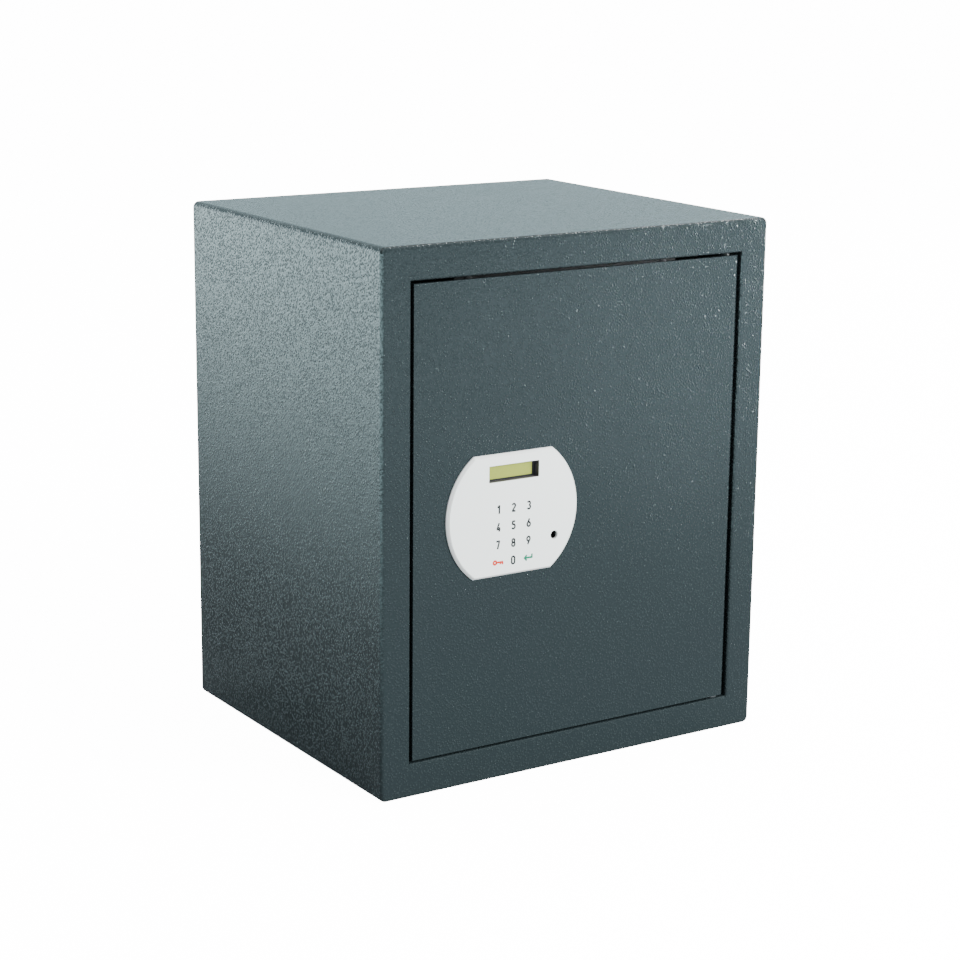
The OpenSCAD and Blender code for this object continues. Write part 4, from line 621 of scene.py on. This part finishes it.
# Silicone rubber has a soft shine and lets a little light in. Its red clouds over 3 mm.
rubber_haze = add(silicone, "TexNoise", {"Vector": place, "Scale": 1 / 0.003, "Detail": 3.0})
lead_tone = add(silicone, "MixRGB", {
    "Fac": rubber_haze.outputs["Fac"], "Color1": linear("8E2420"), "Color2": linear("A83129")})
end_material(silicone, {
    "Base Color": lead_tone.outputs["Color"], "Roughness": 0.5, "IOR": 1.42,
    "Subsurface Weight": 0.08, "Subsurface Scale": 0.0005})
finish_nodes(silicone, "wire_leads")

# Battery contacts: button plates above and wound cone springs below, of nickel plated spring
# steel. They are pressed into slots at the ends of the tray, turned about from cell to cell.
nickel, place = start_material("nickel_plated_spring_steel")
# Nickel is a warm bright grey that dulls in clouds a few millimetres wide.
nickel_cloud = add(nickel, "TexNoise", {"Vector": place, "Scale": 1 / 0.003, "Detail": 3.0})
nickel_tone = add(nickel, "MixRGB", {
    "Fac": nickel_cloud.outputs["Fac"], "Color1": linear("BDB7AC"), "Color2": linear("D6D1C8")})
nickel_gloss = add(nickel, "MapRange", {
    "Value": nickel_cloud.outputs["Fac"], "To Min": 0.16, "To Max": 0.32})
end_material(nickel, {
    "Base Color": nickel_tone.outputs["Color"], "Metallic": 1.0,
    "Roughness": nickel_gloss.outputs["Result"]})
contacts_low, contacts_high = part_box("battery_contacts")
tray_x, cell_y, tray_z = (contacts_low + contacts_high) / 2
half_tray = (contacts_high.z - contacts_low.z) / 2
cell_pitch, plate_side, plate_thickness = 0.015, 0.010, 0.0004
wire_radius, wide_coil, narrow_coil = 0.00035, 0.0046, 0.0027
coils, flat_share, spring_rise, steps = 4.5, 0.2, 0.0024, 96
cell_xs = [tray_x + cell_pitch * i for i in (-1.5, -0.5, 0.5, 1.5)]


def contact_plate(x, z):
    """A square sheet plate with its edges broken."""
    bpy.ops.object.select_all(action="DESELECT")
    bpy.ops.mesh.primitive_cube_add(size=1, location=(x, cell_y, z),
                                    scale=(plate_side, plate_side, plate_thickness))
    plate = bpy.context.object
    bpy.ops.object.transform_apply(location=True, scale=True)
    bpy.ops.object.mode_set(mode="EDIT")
    bpy.ops.mesh.select_all(action="SELECT")
    bpy.ops.mesh.bevel(offset=0.00012, segments=2)
    bpy.ops.object.mode_set(mode="OBJECT")
    return plate


def cone_spring(x, up):
    """A spring across from the button: its coils narrow as they rise, and its ends lie flat."""
    winding = []
    for step in range(steps + 1):
        share = step / steps
        rise = min(max((share - flat_share) / (1 - 2 * flat_share), 0), 1)
        radius = wide_coil - (wide_coil - narrow_coil) * rise
        turn = 2 * pi * coils * share
        from_tray = half_tray - plate_thickness - wire_radius - spring_rise * rise
        winding.append((x + radius * cos(turn), cell_y + radius * sin(turn),
                        tray_z - up * from_tray))
    return wire(winding, wire_radius, roundness=3)


for i, x in enumerate(cell_xs):
    up = 1 if i % 2 == 0 else -1
    # The button sits 0.1 mm deep in its plate.
    button = turned((x, cell_y, tray_z + up * (half_tray - plate_thickness + 0.0001)), [
        (0, 0.0035), (0.0006, 0.0034), (0.0013, 0.0030), (0.0021, 0.0024), (0.0028, 0.0021),
        (0.0031, 0.0014)], along=(pi if up > 0 else 0, 0, 0))
    spring = cone_spring(x, up)
    plates = [contact_plate(x, tray_z + side * (half_tray - plate_thickness / 2))
              for side in (-1, 1)]
    pick(button, spring, *plates)
    bpy.ops.object.transform_apply(location=True, rotation=True, scale=True)
    bpy.ops.object.join()
    settle(button, f"cell_contacts_{i + 1}", nickel, "door", "spring_nickel", "battery_contacts")

# Battery cells: four alkaline cells of the 14.5 by 50.5 mm size in a plain printed sleeve.
# The steel can shows at the cap and at the foot, where the sleeve is shrunk over the shoulder.
cells_low, cells_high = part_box("battery_cells")
half_cell = (cells_high.z - cells_low.z) / 2
bare_end, pale_end = 0.0013, 0.011
sleeve, place = start_material("shrink_sleeve_and_can")
# The sleeve is glossy film, slate blue with pale ends, and the bare can is plated steel.
along_cell = add(sleeve, "SeparateXYZ", {"Vector": place})
from_middle = add(sleeve, "Math", {0: along_cell.outputs["Z"], 1: tray_z}, operation="SUBTRACT")
away = add(sleeve, "Math", {0: from_middle.outputs["Value"]}, operation="ABSOLUTE")
bare = add(sleeve, "Math", {0: away.outputs["Value"], 1: half_cell - bare_end},
           operation="GREATER_THAN")
pale = add(sleeve, "Math", {0: away.outputs["Value"], 1: half_cell - pale_end},
           operation="GREATER_THAN")
scuff = add(sleeve, "TexNoise", {"Vector": place, "Scale": 1 / 0.004, "Detail": 4.0})
blue_film = add(sleeve, "MixRGB", {
    "Fac": scuff.outputs["Fac"], "Color1": linear("34505E"), "Color2": linear("3C5966")})
printed_film = add(sleeve, "MixRGB", {
    "Fac": pale.outputs["Value"], "Color1": blue_film.outputs["Color"],
    "Color2": linear("C9CDCB")})
can = add(sleeve, "MixRGB", {
    "Fac": bare.outputs["Value"], "Color1": printed_film.outputs["Color"],
    "Color2": linear("B9B6AF")})
cell_gloss = add(sleeve, "MapRange", {
    "Value": scuff.outputs["Fac"], "To Min": 0.18, "To Max": 0.3})
end_material(sleeve, {
    "Base Color": can.outputs["Color"], "Metallic": bare.outputs["Value"],
    "Roughness": cell_gloss.outputs["Result"]})
for i, x in enumerate(cell_xs):
    up = 1 if i % 2 == 0 else -1
    cell = turned((x, cell_y, tray_z), [
        (up * z, radius) for z, radius in (
            (-0.02525, 0.0048), (-0.02520, 0.0052), (-0.02500, 0.0056), (-0.02500, 0.0066),
            (-0.02485, 0.0070), (-0.02440, 0.00725), (0.0229, 0.00725), (0.02345, 0.0071),
            (0.0237, 0.0067), (0.0237, 0.0060), (0.0234, 0.0056), (0.0234, 0.0032),
            (0.0237, 0.00285), (0.0249, 0.00270), (0.02515, 0.0025), (0.02525, 0.0021))],
        sides=40)
    settle(cell, f"battery_cell_{i + 1}", sleeve, "door", "cell_wrap", "battery_cells")

# Cover screws: four M4 pan head screws of zinc plated steel with a cross recess.
# They hold the inner cover's ears to studs on the door plate.
cover_low, cover_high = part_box("inner_cover")
screw_start, head_top = (corner.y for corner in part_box("cover_screws"))
ear_x, ear_z = 0.030, 0.006
recess_depth, cutter = 0.001, (0.0044, 0.0026, 0.0009)
screw_places = [(x, z) for z in (cover_low.z + ear_z, cover_high.z - ear_z)
                for x in (cover_low.x + ear_x, cover_high.x - ear_x)]
for i, (x, z) in enumerate(screw_places):
    screw = turned((x, screw_start, z), [
        (0, 0.0016), (0.0004, 0.0020), (0.006, 0.0020), (0.006, 0.0037), (0.0062, 0.0040),
        (0.0068, 0.0040), (0.0076, 0.0037), (0.0081, 0.0031), (0.00835, 0.0021),
        (0.0084, 0.0008)], along=(-pi / 2, 0, 0), sides=48)
    bpy.ops.object.transform_apply(location=True, rotation=True)
    # Two wings that narrow towards their foot are cut out of the head, square to each other.
    foot = head_top - recess_depth
    for turn in (pi / 4, 3 * pi / 4):
        bpy.ops.mesh.primitive_cube_add(size=1, location=(x, foot + cutter[1] / 2, z),
                                        rotation=(0, turn, 0), scale=cutter)
        wing = bpy.context.object
        bpy.ops.object.mode_set(mode="EDIT")
        bpy.ops.mesh.select_all(action="DESELECT")
        bpy.ops.object.mode_set(mode="OBJECT")
        for face in wing.data.polygons:
            face.select = face.normal.y < -0.9
        bpy.ops.object.mode_set(mode="EDIT")
        bpy.ops.transform.resize(value=(0.55, 1, 0.55), center_override=(x, foot, z))
        bpy.ops.object.mode_set(mode="OBJECT")
        recess = screw.modifiers.new("recess", "BOOLEAN")
        recess.object = wing
        bpy.context.view_layer.objects.active = screw
        bpy.ops.object.modifier_apply(modifier="recess")
        bpy.data.objects.remove(wing)
    settle(screw, f"cover_screw_{i + 1}", zinc_plate, "door", "zinc_plate", "cover_screws")

# Studio: a pale floor, a white sweep at the left behind, a pale surround and three softboxes.
# The camera stands where the photograph was taken, level to within a degree and aimed down.
bpy.ops.mesh.primitive_plane_add(size=60, location=(0, 0, 0))
floor = bpy.context.object
floor.name = "studio_floor"
# At this brightness the camera sees pure white, so that no horizon shows.
white_level = 14.0
vinyl, place = start_material("matt_white_vinyl")
# Matt vinyl is an even white, with faint clouds 0.4 m wide.
mottle = add(vinyl, "TexNoise", {"Vector": place, "Scale": 1 / 0.4, "Detail": 3.0})
floor_tone = add(vinyl, "MixRGB", {
    "Fac": mottle.outputs["Fac"], "Color1": linear("F4F5F5"), "Color2": linear("F8F9F9")})
# The object mirrors a grey table, as in the photograph, while the floor itself stays white.
ray = add(vinyl, "LightPath")
table = add(vinyl, "MixRGB", {
    "Fac": ray.outputs["Is Camera Ray"], "Color1": linear("868B8E"),
    "Color2": floor_tone.outputs["Color"]})
# The floor under the safe lies in its shade, which shows through the anchor holes. The shade
# reaches to 15 mm inside the sides and 10 mm inside the front and the back.
shade_reach = (0.16, 0.14, 1)
spot = add(vinyl, "VectorMath", {0: place}, operation="ABSOLUTE")
beyond = add(vinyl, "VectorMath", {0: spot.outputs["Vector"], 1: shade_reach},
             operation="SUBTRACT")
beyond_by = add(vinyl, "SeparateXYZ", {"Vector": beyond.outputs["Vector"]})
outside = add(vinyl, "Math", {0: beyond_by.outputs["X"], 1: beyond_by.outputs["Y"]},
              operation="MAXIMUM")
in_light = add(vinyl, "Math", {0: outside.outputs["Value"], 1: 0.0}, operation="GREATER_THAN")
seen_light = add(vinyl, "Math", {0: in_light.outputs["Value"], 1: ray.outputs["Is Camera Ray"]},
                 operation="MULTIPLY")
glow = add(vinyl, "Math", {0: seen_light.outputs["Value"], 1: white_level}, operation="MULTIPLY")
# What the object mirrors of the table brightens to the left, towards the sweep.
leftward = add(vinyl, "SeparateXYZ", {"Vector": place})
pool = add(vinyl, "MapRange", {
    "Value": leftward.outputs["X"], "From Min": -0.38, "From Max": -1.6,
    "To Min": 0.0, "To Max": 6.4})
mirrored_pool = add(vinyl, "Math", {0: pool.outputs["Result"], 1: ray.outputs["Is Glossy Ray"]},
                    operation="MULTIPLY")
floor_light = add(vinyl, "Math", {0: glow.outputs["Value"], 1: mirrored_pool.outputs["Value"]},
                  operation="ADD")
hue = add(vinyl, "MixRGB", {
    "Fac": ray.outputs["Is Camera Ray"], "Color1": linear("E4FCFF"), "Color2": linear("FFFFFF")})
end_material(vinyl, {
    "Base Color": table.outputs["Color"], "Roughness": 0.9,
    "Emission Color": hue.outputs["Color"], "Emission Strength": floor_light.outputs["Value"]})
vinyl.cycles.emission_sampling = "NONE"
floor.data.materials.append(vinyl)

# The surround is dim in front, paler behind and brightest overhead.
surround = bpy.data.worlds.new("studio_surround")
surround.use_nodes = True
surround.node_tree.nodes.clear()
sight = add(surround, "TexCoord")
bearing = add(surround, "SeparateXYZ", {"Vector": sight.outputs["Generated"]})
overhead = add(surround, "MapRange", {
    "Value": bearing.outputs["Z"], "From Min": 0.35, "From Max": 0.85,
    "To Min": 0.0, "To Max": 1.0}, interpolation_type="SMOOTHSTEP")
behind = add(surround, "MapRange", {
    "Value": bearing.outputs["Y"], "From Min": 0.2, "From Max": 0.75,
    "To Min": 0.0, "To Max": 1.0}, interpolation_type="SMOOTHSTEP")
walls = add(surround, "MixRGB", {
    "Fac": behind.outputs["Result"], "Color1": [0.3, 0.31, 0.31, 1],
    "Color2": [0.74, 1.0, 1.07, 1]})
room = add(surround, "MixRGB", {
    "Fac": overhead.outputs["Result"], "Color1": walls.outputs["Color"],
    "Color2": [1.42, 1.42, 1.42, 1]})
# The sweep stands 30 degrees left of straight behind. It fades from 26 to 46 degrees to either
# side, and from 6 to 17 degrees over the table.
sweep_middle = (-0.5, 0.866, 0)
towards = add(surround, "VectorMath", {0: sight.outputs["Generated"], 1: sweep_middle},
              operation="DOT_PRODUCT")
sweep_width = add(surround, "MapRange", {
    "Value": towards.outputs["Value"], "From Min": 0.7, "From Max": 0.9},
    interpolation_type="SMOOTHSTEP")
sweep_rise = add(surround, "MapRange", {
    "Value": bearing.outputs["Z"], "From Min": 0.1, "From Max": 0.3,
    "To Min": 1.0, "To Max": 0.0}, interpolation_type="SMOOTHSTEP")
sweep = add(surround, "Math", {0: sweep_width.outputs["Result"], 1: sweep_rise.outputs["Result"]},
            operation="MULTIPLY")
mirrored_room = add(surround, "MixRGB", {
    "Fac": sweep.outputs["Value"], "Color1": room.outputs["Color"],
    "Color2": [3.8, 4.6, 4.8, 1]})
world_ray = add(surround, "LightPath")
backdrop = add(surround, "MixRGB", {
    "Fac": world_ray.outputs["Is Camera Ray"], "Color1": mirrored_room.outputs["Color"],
    "Color2": [white_level, white_level, white_level, 1]})
lit = add(surround, "Background", {"Color": backdrop.outputs["Color"]})
add(surround, "OutputWorld", {"Surface": lit.outputs["Background"]})
bpy.context.scene.world = surround


def softbox(name, place, aim, width, height, power, spread=180, mirrored=True):
    """A rectangular softbox at a place, aimed at a point. A grid on it narrows its spread."""
    bpy.ops.object.light_add(type="AREA", location=place)
    lamp = bpy.context.object
    lamp.name = name
    lamp.data.shape = "RECTANGLE"
    lamp.data.size = width
    lamp.data.size_y = height
    lamp.data.energy = power
    lamp.data.spread = spread * pi / 180
    lamp.visible_glossy = mirrored
    lamp.rotation_euler = (Vector(aim) - Vector(place)).to_track_quat("-Z", "Y").to_euler()


softbox("right_softbox", (1.8, -1.35, 0.66), (0.32, -0.15, 0.40), 0.15, 0.15, power=0.85,
        spread=14)
softbox("front_softbox", (1.2, -2.6, 1.0), (0.05, 0, 0.15), 1.6, 1.2, power=238, mirrored=False)
softbox("rear_softbox", (2.4, 1.3, 1.9), (0.1, 0.1, 0.25), 0.8, 0.8, power=30)

# The camera was fitted to the corners of the cabinet and of the door.
camera_place = (-1.0006, -1.5522, 0.6492)
yaw, pitch, roll = 0.5757, -0.2413, 0.0109
focal_length_pixels, picture_pixels, sensor_width = 2332.8, 960, 36
bpy.ops.object.camera_add(location=camera_place)
camera = bpy.context.object
camera.rotation_euler = (Matrix.Rotation(-yaw, 3, "Z") @ Matrix.Rotation(pi / 2 + pitch, 3, "X")
                         @ Matrix.Rotation(roll, 3, "Z")).to_euler()
camera.data.sensor_width = sensor_width
camera.data.lens = focal_length_pixels / picture_pixels * sensor_width
camera.data.clip_end = 30
bpy.context.scene.camera = camera
